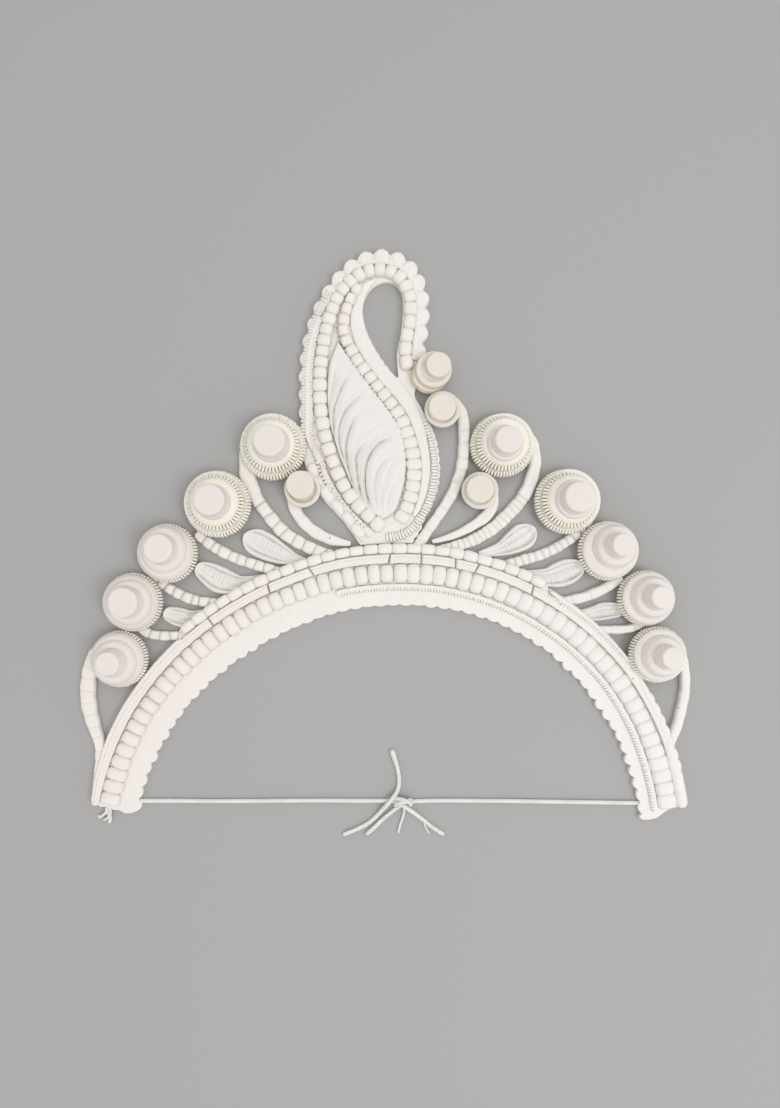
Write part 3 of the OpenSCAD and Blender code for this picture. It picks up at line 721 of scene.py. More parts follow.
def pillow(tree, given):
    """One bead: a cube pushed out to a rounded pillow, flat where it is glued down."""
    detail = given["Detail"]
    block = add_node(tree, "GeometryNodeMeshCube", {
        "Size": (2, 2, 2), "Vertices X": detail, "Vertices Y": detail, "Vertices Z": detail})
    place = add_node(tree, "GeometryNodeInputPosition").outputs[0]
    from_middle = on_each_axis(tree, "ABSOLUTE", place)
    square, full = given["Squareness"], given["Fullness"]
    powers = [maths(tree, "POWER", axis, square) for axis in from_middle[:2]]
    plan = maths(tree, "POWER", maths(tree, "ADD", *powers), maths(tree, "DIVIDE", full, square))
    total = maths(tree, "ADD", plan, maths(tree, "POWER", from_middle[2], full))
    reach = maths(tree, "POWER", total, maths(tree, "DIVIDE", 1.0, full))
    x, y, z = on_each_axis(tree, "DIVIDE", place, reach)
    rise = maths(tree, "MAXIMUM", z, 0.0)
    outward = share_of(tree, maths(tree, "SUBTRACT", 1.0, y), 0.5)
    sloped = maths(tree, "SUBTRACT", 1.0, maths(tree, "MULTIPLY", given["Slope"], outward))
    up = maths(tree, "MULTIPLY", maths(tree, "MULTIPLY", rise, given["Height"]), sloped)
    along = share_of(tree, maths(tree, "MULTIPLY", x, given["Width"]), 0.5)
    across = share_of(tree, maths(tree, "MULTIPLY", y, given["Length"]), 0.5)
    where = vector_of(tree, along, across, up)
    bead = add_node(tree, "GeometryNodeSetPosition", {"Geometry": block.outputs["Mesh"], "Position": where})
    # The seam mask at the bead's foot, which the finish paints with glue tint and the shade of the gap
    # between beads
    seam_top = maths(tree, "ADD", given["Joint"], SEAM_ABOVE_JOINT)
    seam = in_range(tree, maths(tree, "SUBTRACT", seam_top, rise), 0.0, SEAM_FADE)
    return store_value(tree, bead.outputs[0], "seam", seam)


def hand_set(tree, given, heading):
    """How each bead of a row is turned and sized, with the small errors of the hand."""
    less = maths(tree, "SUBTRACT", 1.0, given["Unevenness"])
    more = maths(tree, "ADD", 1.0, given["Unevenness"])
    small = vector_of(tree, less, less, less)
    large = vector_of(tree, 1.0, more, more)
    size = random_vector(tree, small, large, given["Seed"])
    lifted = vector_of(tree, 1.0, read_value(tree, "spread"), read_value(tree, "lift"))
    scale = add_node(tree, "ShaderNodeVectorMath", {0: size, 1: lifted}, operation="MULTIPLY").outputs[0]
    low_turn = vector_of(tree, 0.0, 0.0, share_of(tree, given["Turn"], -1.0))
    high_turn = vector_of(tree, 0.0, 0.0, given["Turn"])
    swing = random_vector(tree, low_turn, high_turn, maths(tree, "ADD", given["Seed"], TURN_SEED))
    swing = add_node(tree, "FunctionNodeEulerToRotation", {0: swing}).outputs[0]
    turned_by = add_node(
        tree, "FunctionNodeRotateRotation", {"Rotation": heading, "Rotate By": swing}, rotation_space="LOCAL")
    return turned_by.outputs[0], scale


def make_row_tree():
    tree = bpy.data.node_groups.new("row_along_a_path", "GeometryNodeTree")
    tree.interface.new_socket("Path", in_out="INPUT", socket_type="NodeSocketGeometry")
    for label, kind, value in ROW_INPUTS:
        socket = tree.interface.new_socket(label, in_out="INPUT", socket_type=kind)
        if value is not None:
            socket.default_value = value
    tree.interface.new_socket("Row", in_out="OUTPUT", socket_type="NodeSocketGeometry")
    given = tree.nodes.new("NodeGroupInput").outputs
    put = tree.nodes.new("NodeGroupOutput").inputs
    bead = pillow(tree, given)
    curve = add_node(tree, "GeometryNodeMeshToCurve", {"Mesh": given["Path"]}).outputs[0]
    spots = add_node(
        tree, "GeometryNodeCurveToPoints", {"Curve": curve, "Count": given["Count"]}, mode="COUNT")
    heading = add_node(
        tree, "FunctionNodeAlignRotationToVector", {"Vector": spots.outputs["Tangent"]}, axis="X",
        pivot_axis="Z").outputs[0]
    turned_by, scale = hand_set(tree, given, heading)
    tone = add_node(tree, "FunctionNodeRandomValue", {
        2: 0.0, 3: 1.0, "Seed": maths(tree, "ADD", given["Seed"], TONE_SEED)}, data_type="FLOAT").outputs[1]
    toned = store_value(tree, spots.outputs["Points"], "tone", tone)
    row = add_node(tree, "GeometryNodeInstanceOnPoints", {
        "Points": toned, "Instance": bead, "Rotation": turned_by, "Scale": scale})
    real = add_node(tree, "GeometryNodeRealizeInstances", {0: row.outputs[0]})
    painted = add_node(tree, "GeometryNodeSetMaterial", {0: real.outputs[0], "Material": given["Material"]})
    tree.links.new(painted.outputs[0], put["Row"])
    return tree


ROW_TREE = make_row_tree()


def row_mesh(path, count, fill, length, height, material, square=5.0, full=3.2, slope=0.0, detail=6,
             uneven=0.04, turn=0.03, seed=1, lift=1.0, spread=1.0, closed=False):
    """Like pieces set along a path, as one mesh. Fill is the share of the pitch that each one takes."""
    joint = (1 - min(1 / fill, 1) ** full) ** (1 / full)
    path = np.asarray(path, float)
    path = np.column_stack([path, np.broadcast_to(lift, len(path)), np.broadcast_to(spread, len(path))])
    if closed:
        total = run_of(np.vstack([path, path[:1]]))[-1]
    else:
        total = run_of(path)[-1]
        half_pitch = total / count / 2
        path = at_runs(path, np.linspace(half_pitch, total - half_pitch, max(40, 3 * count)))
    edges = [(i, i + 1) for i in range(len(path) - 1)]
    if closed:
        edges.append((len(path) - 1, 0))
    holder_mesh = bpy.data.meshes.new("row_path")
    holder_mesh.from_pydata(in_frame(path[:, :3]).tolist(), edges, [])
    for column, name in ((3, "lift"), (4, "spread")):
        values = np.ascontiguousarray(path[:, column])
        holder_mesh.attributes.new(name, "FLOAT", "POINT").data.foreach_set("value", values)
    holder = bpy.data.objects.new("row_path", holder_mesh)
    bpy.context.scene.collection.objects.link(holder)
    modifier = holder.modifiers.new("row", "NODES")
    modifier.node_group = ROW_TREE
    values = {
        "Count": count, "Width": total / count * fill * MM, "Length": length * MM, "Height": height * MM,
        "Squareness": square, "Fullness": full, "Joint": joint, "Slope": slope, "Detail": detail,
        "Unevenness": uneven, "Turn": turn, "Seed": seed, "Material": material,
    }
    for socket in ROW_TREE.interface.items_tree:
        if socket.in_out == "INPUT" and socket.name in values:
            modifier[socket.identifier] = values[socket.name]
    holder.update_tag()
    graph = bpy.context.evaluated_depsgraph_get()
    mesh = bpy.data.meshes.new_from_object(
        holder.evaluated_get(graph), preserve_all_data_layers=True, depsgraph=graph)
    bpy.data.objects.remove(holder)
    shade_smooth(mesh)
    return mesh


# Points round a ring of ribs
RING_POINTS = 96


def circle(centre, radius, z):
    angles = np.linspace(0, 2 * math.pi, RING_POINTS, endpoint=False)
    x = centre[0] + radius * np.cos(angles)
    y = centre[1] + radius * np.sin(angles)
    return np.column_stack([x, y, np.full(RING_POINTS, float(z))])


# Turned pieces

def rounded(profile, ease):
    """The profile of a turned piece with each of its corners eased."""
    p = np.asarray(profile, float)
    eased = [p[0]]
    for before, corner, after in zip(p[:-2], p[1:-1], p[2:]):
        back, ahead = before - corner, after - corner
        reach = min(ease, 0.45 * np.linalg.norm(back), 0.45 * np.linalg.norm(ahead))
        start = corner + back / np.linalg.norm(back) * reach
        stop = corner + ahead / np.linalg.norm(ahead) * reach
        for t in (0, 0.33, 0.67, 1):
            eased.append((1 - t) ** 2 * start + 2 * t * (1 - t) * corner + t * t * stop)
    eased.append(p[-1])
    return np.array(eased)


# How far a turned piece may be from round, as a share of its radius
OUT_OF_ROUND = 0.006


def turned(name, centre, profile, material, seams=(), turns=72, seed=1, facing=None):
    """A piece turned round an upright axis. The profile runs from the axis below to the axis on top.
    Seams lists radius and height of the seams that glue or shade marks, with the reach of each.
    With facing given, the marks are on that side only."""
    rng = np.random.default_rng(seed)
    phase, swell = rng.uniform(0, 2 * math.pi), rng.uniform(0.4, 1.0) * OUT_OF_ROUND
    angles = np.linspace(0, 2 * math.pi, turns, endpoint=False)
    stretch = 1 + swell * np.cos(2 * angles + phase)
    body = profile[1:-1]
    sections = np.zeros((len(body), turns, 3))
    sections[:, :, 0] = centre[0] + body[:, 0, None] * np.cos(angles) * stretch
    sections[:, :, 1] = centre[1] + body[:, 0, None] * np.sin(angles) * stretch
    sections[:, :, 2] = body[:, 1, None]
    mask = np.zeros(len(body))
    for radius, z, reach in seams:
        mask = np.maximum(mask, np.exp(-((body[:, 0] - radius) ** 2 + (body[:, 1] - z) ** 2) / reach ** 2))
    points, faces = loft(sections)
    faces = faces[:-2]
    poles = []
    for row, ring_start in ((profile[0], 0), (profile[-1], (len(body) - 1) * turns)):
        pole = len(points) + len(poles)
        poles.append((centre[0], centre[1], row[1]))
        faces += [(ring_start + k, ring_start + (k + 1) % turns, pole) for k in range(turns)]
    faced = np.ones(turns)
    if facing is not None:
        faced = soft_step(np.cos(angles) * facing[0] + np.sin(angles) * facing[1], -0.4, 0.4)
    seam = np.concatenate([np.outer(mask, faced).ravel(), [0.0, 0.0]])
    return make_mesh(name, np.vstack([points, poles]), faces, material, seam)


# Stems: places and widths as the crown's source has them

STEMS = {
    "stem_left_1": [
        (-56.4, 36.5, 4.6), (-56.9, 29.5, 5.6), (-56.1, 22, 6.8), (-54, 16, 6.2), (-51, 10.5, 5.4),
        (-43, 0.5, 5.6), (-37, -4, 5.4), (-29.5, -7.8, 5.2), (-21, -11, 5)],
    "stem_left_2": [
        (-77, -1.5, 4.6), (-69.5, -7, 4.8), (-63, -10.5, 4.6), (-56.5, -13, 4.4), (-49, -15.4, 4.4),
        (-41, -18, 4.4)],
    "stem_left_3": [
        (-95, -18.5, 4.4), (-88.5, -23.5, 4.4), (-82, -27, 4.4), (-75.5, -29, 4.2), (-66, -30, 4.2)],
    "stem_left_4": [(-101, -39, 4), (-96.5, -42, 4), (-91.5, -43, 4), (-86.5, -43, 3.8), (-78, -43, 3.8)],
    "stem_left_5": [
        (-117.3, -48.5, 5), (-119.8, -54, 5.8), (-121, -60.5, 6.2), (-121.3, -67, 6.4), (-120.5, -73.5, 6.2),
        (-118.7, -80, 5.4), (-116.6, -86.5, 4.4), (-116, -92.5, 4.6), (-116.6, -98.5, 4.4), (-117.2, -103, 4),
        (-117.6, -107, 3.6)],
    "stem_right_1": [
        (55, 41.6, 4), (58, 38.4, 4.4), (60.2, 34.3, 4.6), (60.9, 28.5, 5), (60, 23, 5.4),
        (58, 17, 5.6), (54.5, 11.5, 5.6),
        (49.5, 6, 5.6), (43.5, 0.6, 5.4), (35, -4.4, 5), (27, -7, 4.6), (18, -9.4, 4.4)],
    "stem_right_2": [
        (83, 3.5, 4.4), (79, -0.5, 4.4), (74, -4.5, 4.4), (68, -8, 4.4), (62, -10.5, 4.4),
        (56, -12.2, 4.6), (46, -15.5, 4.6)],
    "stem_right_3": [(96, -19.5, 4), (92, -22, 4.2), (87, -24.8, 4.4), (80, -27.5, 4.2), (70, -29.5, 4)],
    "stem_right_4": [
        (106, -37, 3.6), (101, -39.6, 3.6), (96, -40.5, 3.6), (91, -40.6, 3.6), (83, -40.8, 3.6)],
    "stem_right_5": [
        (116.4, -42.6, 3.6), (119.2, -47.6, 3.8), (121.2, -53.5, 3.8), (122, -60, 3.8), (121.7, -66.5, 3.9),
        (120.3, -73.5, 4), (118.3, -80.5, 4), (114, -90, 4.4)],
    "stem_small_left": [
        (-38.5, 15, 4.6), (-37, 9, 5), (-34, 4, 5), (-29.5, -0.2, 5), (-24, -3.2, 4.6),
        (-19, -4.8, 3.8), (-14.2, -5.6, 1.8)],
    "stem_small_right": [
        (43, 17, 4.2), (43.9, 12.4, 4.6), (41.5, 6.5, 5), (36, 2.1, 4), (29.5, -1.4, 3.2), (24, -3.4, 2.6),
        (18.9, -4.7, 1.6)],
    "stem_neck": [
        (24, 54.5, 4), (28.4, 51.5, 4.6), (31.4, 46, 4.8), (32, 39, 4.8), (31.8, 31, 4.8),
        (30.5, 23.5, 4.8), (27.5, 15.5, 4.6), (22.6, 7.5, 4.4), (17.7, 0.5, 4.4), (12.7, -7, 4.4)],
}
# How each is cut across: the pitch of its cuts, the share of its run where they begin, how deep they
# are, and how far the blocks between them puff up
STEM_CUTS = {
    "stem_left_1": (4.9, 0.42, 0.3, 0.16),
    "stem_left_2": (3.9, 0.1, 0.3, 0.16),
    "stem_left_3": (3.7, 0.12, 0.34, 0.2),
    "stem_left_4": (4.2, 0.3, 0.28, 0.15),
    "stem_left_5": (4.9, 0.05, 0.1, 0.04),
    "stem_right_1": (2.4, 0.42, 0.22, 0.1),
    "stem_right_2": (2.9, 0.08, 0.28, 0.14),
    "stem_right_3": (7.5, 0.25, 0.16, 0.06),
    "stem_right_4": (9.0, 0.3, 0.14, 0.05),
    "stem_right_5": (11.0, 0.3, 0.06, 0.0),
    "stem_small_left": (60.0, 2.0, 0.0, 0.0),
    "stem_small_right": (60.0, 2.0, 0.0, 0.0),
    "stem_neck": (5.6, 0.16, 0.1, 0.1),
}

# How far a stem runs on under the beads on the rim, and how much lower than its layer's top it is made
UNDER_BEADS = 0.3
STEM_EASE = 0.15


def band_angle(path):
    from_middle = path[:, :2] - np.array(ARC)
    return np.degrees(np.arctan2(from_middle[:, 0], from_middle[:, 1]))


def band_radius(path):
    """The radius of places on the band's own wandering arc."""
    return np.linalg.norm(path[:, :2] - np.array(ARC), axis=1) - from_table(BAND_DRIFT, band_angle(path))


def outside_band(path):
    """The path as far as it is clear of the band, and a little way under the beads on its rim."""
    clear_from = from_table(RIM, band_angle(path)) - path[:, 2] * 0.5 - UNDER_BEADS
    inside = band_radius(path) < clear_from
    stop = int(np.argmax(inside)) if inside.any() else len(path)
    return path[:max(stop, 4)]


def make_stems():
    for index, (name, route) in enumerate(STEMS.items()):
        pitch, begins, depth, puff = STEM_CUTS[name]
        path = outside_band(evenly(smooth(route), 0.4)[0])
        total = run_of(path)[-1]
        cuts = spaced(total, pitch, begins * total, uneven=0.07, seed=20 + index)
        rng = np.random.default_rng(60 + index)
        phases = rng.uniform(0, 6, 3)

        def relief(run, u, half, phases=phases):
            wave = 0.1 * np.sin(run * 0.45 + phases[0]) + 0.08 * np.sin(run * 1.3 + phases[1])
            lengthwise = 0.1 * np.sin(u * 6 + phases[2] + 0.1 * run)
            return (wave + lengthwise) * (1 - u**4)

        wander = 1 + 0.04 * np.sin(run_of(path) * 0.9 + phases[0])
        # line sets how dark the painted shade in the cuts is, darker for deeper cuts
        mesh = strip_mesh(
            name, path[:, :2], path[:, 2] * wander, 0.0, STEM_TOP - STEM_EASE, STEM, step=0.2, shape=4.2,
            across=13, cuts=cuts, cut_half=0.27, cut_depth=depth, pinch=0.35 * puff, puff=puff, puff_half=0.8,
            slant=0.3, relief=relief, soft_end=-2.2, line=0.55 + depth)
        make_piece("carved_" + name, [mesh], [name])


# Petals: places and widths from the round end to the tip

PETALS = {
    "petal_left_1": [
        (-57.6, -1.8, 4), (-54, -4, 10.6), (-48.5, -6.8, 11), (-42, -10, 8.2), (-36.5, -12, 4.6),
        (-31, -13.2, 2.2)],
    "petal_left_2": [
        (-77.2, -14.8, 5), (-72.5, -17.4, 9.4), (-67, -20.5, 11), (-60.5, -21.8, 8), (-56, -20.8, 4.4),
        (-49, -18.6, 1.6)],
    "petal_left_3": [
        (-90.2, -33.2, 5), (-85.5, -35, 7.6), (-80.5, -35.9, 7.2), (-76, -34.4, 3.8), (-70, -31.8, 1.2)],
    "petal_right_1": [(60.6, 1, 5), (56.8, -2, 10.8), (52, -5, 9.4), (46.5, -7.8, 5.8), (38, -9.8, 2.4)],
    "petal_right_2": [
        (80.6, -14.6, 5), (75.5, -16.4, 10.2), (70, -18.3, 10.2), (65, -19, 7.2), (56, -17.6, 2.4)],
    "petal_right_3": [(96.5, -32.4, 5.4), (89.5, -32.9, 7.2), (84.5, -34, 6), (76, -34.8, 2.6)],
}
# Where the crease runs across the petal and how deep it is, then the same of a second one
PETAL_CREASES = {
    "petal_left_1": (0.3, 0.5, -0.3, 0.25),
    "petal_left_2": (0.15, 0.5, 0.45, 0.3),
    "petal_left_3": (0.35, 0.4, -0.2, 0.2),
    "petal_right_1": (-0.1, 0.3, 0.35, 0.15),
    "petal_right_2": (0.15, 0.8, -0.3, 0.6),
    "petal_right_3": (0.4, 0.6, -0.1, 0.3),
}
# The hollow of a petal: its depth, its share of the half width, and where the low ridge in it lies, then
# how much lower than its layer's top a petal is made
HOLLOW_DEPTH = 2.7
HOLLOW_SHARE = 0.74
MID_RIDGE_AT = 0.12
PETAL_EASE = 0.35


def make_petals():
    """Spoon-like petals: a rolled rim, a hollow with creases along it, and fine cuts across."""
    for index, (name, route) in enumerate(PETALS.items()):
        first_at, first_deep, second_at, second_deep = PETAL_CREASES[name]
        path = outside_band(evenly(smooth(route), 0.4)[0])
        total = run_of(path)[-1]
        fine = spaced(total, 1.5, 0.25 * total, 0.6 * total, uneven=0.08, seed=80 + index)

        def relief(run, u, half, total=total, fine=fine):
            along = run / total
            open_end = soft_step(run, 0.3, 2.6)
            depth = HOLLOW_DEPTH * np.minimum(half / 3.2, 1) ** 1.5 * open_end
            mid_ridge = 1 - 0.5 * np.exp(-((u - MID_RIDGE_AT) / 0.24) ** 2)
            hollow = -depth * np.clip(1 - np.abs(u / HOLLOW_SHARE) ** 5, 0, 1) * mid_ridge
            first = -first_deep * np.exp(-((u - first_at * (1 - along)) / 0.09) ** 2)
            second = -second_deep * np.exp(-((u - second_at * (1 - 0.6 * along)) / 0.08) ** 2)
            lines = np.exp(-(np.abs(run - fine[None, :]).min(axis=1)[:, None] / 0.2) ** 2)
            across = -0.5 * lines * (np.abs(u - MID_RIDGE_AT) < 0.42)
            rolled = 0.45 * np.exp(-((np.abs(u) - 0.84) / 0.1) ** 2) * np.minimum(half / 2.5, 1)
            fade = open_end * soft_step(1 - along, 0.02, 0.2)
            return hollow + (first + second + across) * fade + rolled

        # Painted shade on the inner sides of the hollow
        def hollow_shade(run, u, half, total=total):
            deep = np.exp(-((np.abs(u) - 0.62) / 0.12) ** 2) * np.minimum(half / 3, 1)
            return 0.85 * deep * soft_step(run, 0.5, 3) * soft_step(1 - run / total, 0.1, 0.4)

        round_end = np.sqrt(np.clip(1 - (1 - run_of(path) / 1.8).clip(0, 1) ** 2, 0.01, 1))
        mesh = strip_mesh(
            name, path[:, :2], path[:, 2] * round_end, 0.0, STEM_TOP - PETAL_EASE, LEAF, step=0.22, shape=5.0,
            across=31, relief=relief, tint=hollow_shade)
        make_piece("carved_" + name, [mesh], [name])


# The band

CREST_START = -42.3
CREST_END = 28.4
CREST_BEADS = 27
# Angles of the dark joints across the ridges, and of the stretch of the rim that is cut by ticks
CROSS_JOINTS = (-37.2, -24.5, -15.8, -0.8, 5.2, 11.7, 15.8, 27.0)
TICKED_RIM = (30.0, 51.0)
EDGE_STRIP_START = 30
POINTS_PER_SCALLOP = 8
# How deep the scallops are cut at four angles to either side of the middle line, as a share
DEPTH_ANGLES = (0, 12, 40, 79)
DEPTH_SHARES = (0.55, 0.62, 0.95, 1.15)
LEG_FLAP = [(115.4, -113.4), (112.6, -115.3), (110.4, -117.1), (107, -117.9), (104.3, -117.8), (103, -116.6)]
# The torn end of the left leg: how far short of the leg's angle, and radius
TORN_ANGLES = (0.55, 0.75, 0.3, 0.5, 0.1, 0.35, -0.1)
TORN_RADII = (108.4, 111, 113.2, 115.6, 118.4, 121, 123.6)
# Stretches of the pillow beads: first and last angle, count, share of the pitch, seed, finish
LEFT_BEADS = [(-LEG_ANGLE + 0.5, -0.1, 31, 1.13, 11, BEAD)]
RIGHT_BEADS = [(0.1, 22.9, 9, 1.16, 12, PALE_BEAD), (22.9, LEG_ANGLE - 0.5, 22, 1.42, 15, PALE_BEAD)]
# Stretches of pin holes at the inner corners of the beads: first and last angle, count, seed
BAND_HOLES = [(-40, 0, 14, 3), (0, LEG_ANGLE - 8, 29, 4)]


def make_base_arch():
    """The sheet, with its scalloped inner edge and the torn ends of the legs."""
    scallop = np.linspace(LEG_ANGLE, -LEG_ANGLE, SCALLOP_COUNT * POINTS_PER_SCALLOP + 1)
    rng = np.random.default_rng(5)
    lobe_depth = SCALLOP_DEPTH * (1 + 0.25 * rng.normal(0, 1, SCALLOP_COUNT + 1).clip(-1.4, 1.4))
    lobe_angles = np.linspace(LEG_ANGLE, -LEG_ANGLE, SCALLOP_COUNT + 1)
    lobe_depth *= np.interp(np.abs(lobe_angles), DEPTH_ANGLES, DEPTH_SHARES)
    share = np.arange(len(scallop)) / POINTS_PER_SCALLOP
    depth = lobe_depth[share.astype(int)] * np.abs(np.sin(np.pi * share)) ** 0.8
    inner_edge = on_band(scallop, INNER_R + from_table(INNER_DRIFT, scallop) - depth)
    rim_angles = np.arange(-LEG_ANGLE, LEG_ANGLE + 0.01, 0.5)
    rim = on_band(rim_angles, from_table(RIM, rim_angles) + worn_waves(rim_angles) - 0.4)
    torn = on_band(-LEG_ANGLE - np.array(TORN_ANGLES), np.array(TORN_RADII))
    sheet = cut_sheet("base", [np.vstack([rim, LEG_FLAP, inner_edge, torn])], 0.0, SHEET_TOP, 0.35, SHEET)
    make_piece("carved_base_arch", [sheet], ["base_arch"])


def make_ridges():
    """Two plain ridges with a fine line between them, and dark joints across."""
    inner, angles = band_path(RIDGE_INNER_R, -LEG_ANGLE, LEG_ANGLE)
    outer = on_band(angles, from_table(RIDGE_LINE, angles))
    middle = (inner + outer) / 2
    width = np.linalg.norm(outer - inner, axis=1) - 0.1
    run = run_of(middle)
    joints = np.interp(CROSS_JOINTS, angles, run)
    tick_start, tick_stop = np.interp(TICKED_RIM, angles, run)
    ticks = spaced(run[-1], 1.25, tick_start, tick_stop, uneven=0.1, seed=8)

    # The ticks are cut into the rim, and the same mask paints shade in them
    def rim_ticks(run_at, u, half):
        away = np.abs(run_at - ticks[None, :]).min(axis=1)[:, None]
        return np.exp(-(away / 0.26) ** 2) * soft_step(u, 0.25, 0.5)

    def ridges(run_at, u, half):
        faint = 1 - soft_step(run_at, run[-1] * 0.78, run[-1] * 0.86)
        line = -0.75 * np.exp(-((u - 0.36) / 0.1) ** 2) * faint
        sag = -0.3 * np.exp(-((u + 0.3) / 0.3) ** 2) * faint
        wander = 0.12 * np.sin(run_at * 0.21) + 0.07 * np.sin(run_at * 0.77 + 1.0)
        creased = soft_step(u, 0.35, 0.5) * (1 - soft_step(run_at, 30, 38))
        crease = -0.35 * np.exp(-((np.mod(run_at + 0.4 * np.sin(run_at), 3.1) - 1.5) / 0.22) ** 2) * creased
        return line + sag + crease + wander * (1 - u**2) - 0.6 * rim_ticks(run_at, u, half)

    mesh = strip_mesh(
        "ridges", middle, width, LAYER_LOW, LAYER_LOW + 1.95, RIDGE, step=0.2, shape=5, across=21,
        cuts=joints, cut_half=0.36, cut_depth=0.8, puff=0.12, puff_half=0.7, slant=0.5, edge_glue_and_shade=0.3,
        relief=ridges, line=1.2, soft_end=2.4, tint=rim_ticks)
    make_piece("carved_ridge_strip", [mesh], ["ridge_strip"])


def make_inner_strip():
    """The plain strip inside the beads, with fine cuts along its free edge."""
    inner, angles = band_path(INNER_STRIP_R, INNER_STRIP_START, LEG_ANGLE)
    outer = on_band(angles, BEAD_INNER_R - 0.35)
    middle = (inner + outer) / 2
    width = np.linalg.norm(outer - inner, axis=1)
    cuts = spaced(run_of(middle)[-1], 1.22, 2.0, uneven=0.09, seed=7)
    mesh = strip_mesh(
        "inner", middle, width, LAYER_LOW, LAYER_LOW + 1.15, SHEET, step=0.13, shape=6, across=9, cuts=cuts,
        cut_half=0.2, cut_depth=0.95, cut_side=-1, edge_glue_and_shade=0.2, line=0.95, soft_end=1.6)
    make_piece("carved_inner_strip", [mesh], ["inner_strip"])


def make_right_edge():
    """The right leg's outer strip: pinked, then smooth, and lying a little over the ridge."""
    angles = band_path(0, EDGE_STRIP_START, LEG_ANGLE)[1]
    over_ridge = 0.7 * soft_step(angles, 30, 33) + 2 * soft_step(angles, 51, 57)
    inner = on_band(angles, from_table(RIDGE_LINE, angles) + 0.15 - over_ridge)
    outer = on_band(angles, from_table(RIM, angles) + worn_waves(angles) - 0.55)
    width = np.linalg.norm(outer - inner, axis=1)
    mesh = strip_mesh(
        "edge", (inner + outer) / 2, width, LAYER_LOW, LAYER_LOW + 2.1, RIDGE, step=0.5, shape=3, across=9,
        edge_glue_and_shade=0.08, soft_end=2.6)
    pinked_angles = np.linspace(29.6, 46, 120)
    pinked = on_band(pinked_angles, from_table(RIM, pinked_angles) - 0.85)
    pinked_mesh = row_mesh(
        with_height(pinked, LAYER_LOW), 28, 0.6, 1.4, 1.0, SHEET, square=5, full=3, detail=4, uneven=0.14,
        turn=0.12, seed=9)
    make_piece("carved_edge_strip_right", [mesh, pinked_mesh], ["edge_strip_right"])


def make_band_beads():
    """Pillow beads, lower on the right leg and at the left leg's end."""
    for name, stretches in (("band_beads_left", LEFT_BEADS), ("band_beads_right", RIGHT_BEADS)):
        rows = []
        for start, stop, count, fill, seed, material in stretches:
            path, angles = band_path(BEAD_MIDDLE_R, start, stop)
            lift = 1 - 0.42 * soft_step(angles, 22, 50) - 0.2 * soft_step(-angles, 62, 76)
            rows.append(row_mesh(
                with_height(path, LAYER_LOW - 0.1), count, fill, BEAD_OUTER_R - BEAD_INNER_R + 0.4, 3.9,
                material, square=3.3, full=2.35, detail=8, uneven=0.07, turn=0.05, seed=seed, lift=lift))
        make_piece("carved_" + name, rows, [name])


def make_crest():
    """Square beads on the rim."""
    path = band_path((CREST_INNER_R + CREST_OUTER_R) / 2, CREST_START, CREST_END)[0]
    crest = row_mesh(
        with_height(path, LAYER_LOW), CREST_BEADS, 1.14, CREST_OUTER_R - CREST_INNER_R + 0.4, 3.4, PALE_BEAD,
        square=3.8, full=2.8, detail=8, uneven=0.07, turn=0.05, seed=13)
    make_piece("carved_crest_beads", [crest], ["crest_beads"])


def make_band_holes():
    holes = []
    for start, stop, count, seed in BAND_HOLES:
        path = band_path(BEAD_INNER_R + 0.5, start, stop)[0]
        holes.append(row_mesh(
            with_height(path, SHEET_TOP), count, 0.14, 0.55, 0.5, PINHOLE_AND_SHADOW, square=2.2, full=2.2, detail=4,
            uneven=0.35, turn=0.5, seed=seed))
    make_piece("pin_holes_band", holes, [])


def make_band():
    make_base_arch()
    make_ridges()
    make_inner_strip()
    make_right_edge()
    make_band_beads()
    make_crest()
    make_band_holes()


# The paisley

PLATE_EDGE = [
    (-8.5, -9), (-13.2, -2), (-17.4, 3.7), (-21.8, 8.5), (-26.2, 13.4), (-30.8, 20.6), (-33.4, 29),
    (-34.6, 38), (-34.4, 48), (-34.4, 63), (-33, 76),
    (-28, 91.5), (-18.5, 105.5), (-7, 112.6), (5, 112), (13.2, 105.5), (16.8, 95), (17, 84),
    (16, 76), (15.4, 69), (14.4, 62), (11.8, 55.4), (14.6, 49.6), (18.2, 43), (21, 35), (22.1, 25.4),
    (21.4, 17.6), (19.4, 11.3), (16.8, 6.2), (15, 2.4), (14.2, 0), (11.9, -3.6), (8.4, -9),
]
SCALLOPS_FROM = 0.1882
SCALLOPS_TO = 0.7064
SCALLOPS = 20
SCALLOP_H = 1.9
PLATE_HOLE = [
    (0, 101), (4.6, 99.4), (6.8, 95), (7, 88), (6, 79), (4.6, 72), (4.8, 66), (4.9, 62.2), (2, 64.6),
    (-2, 70), (-6.4, 78), (-8.8, 85), (-9, 92), (-5.8, 98.2),
]
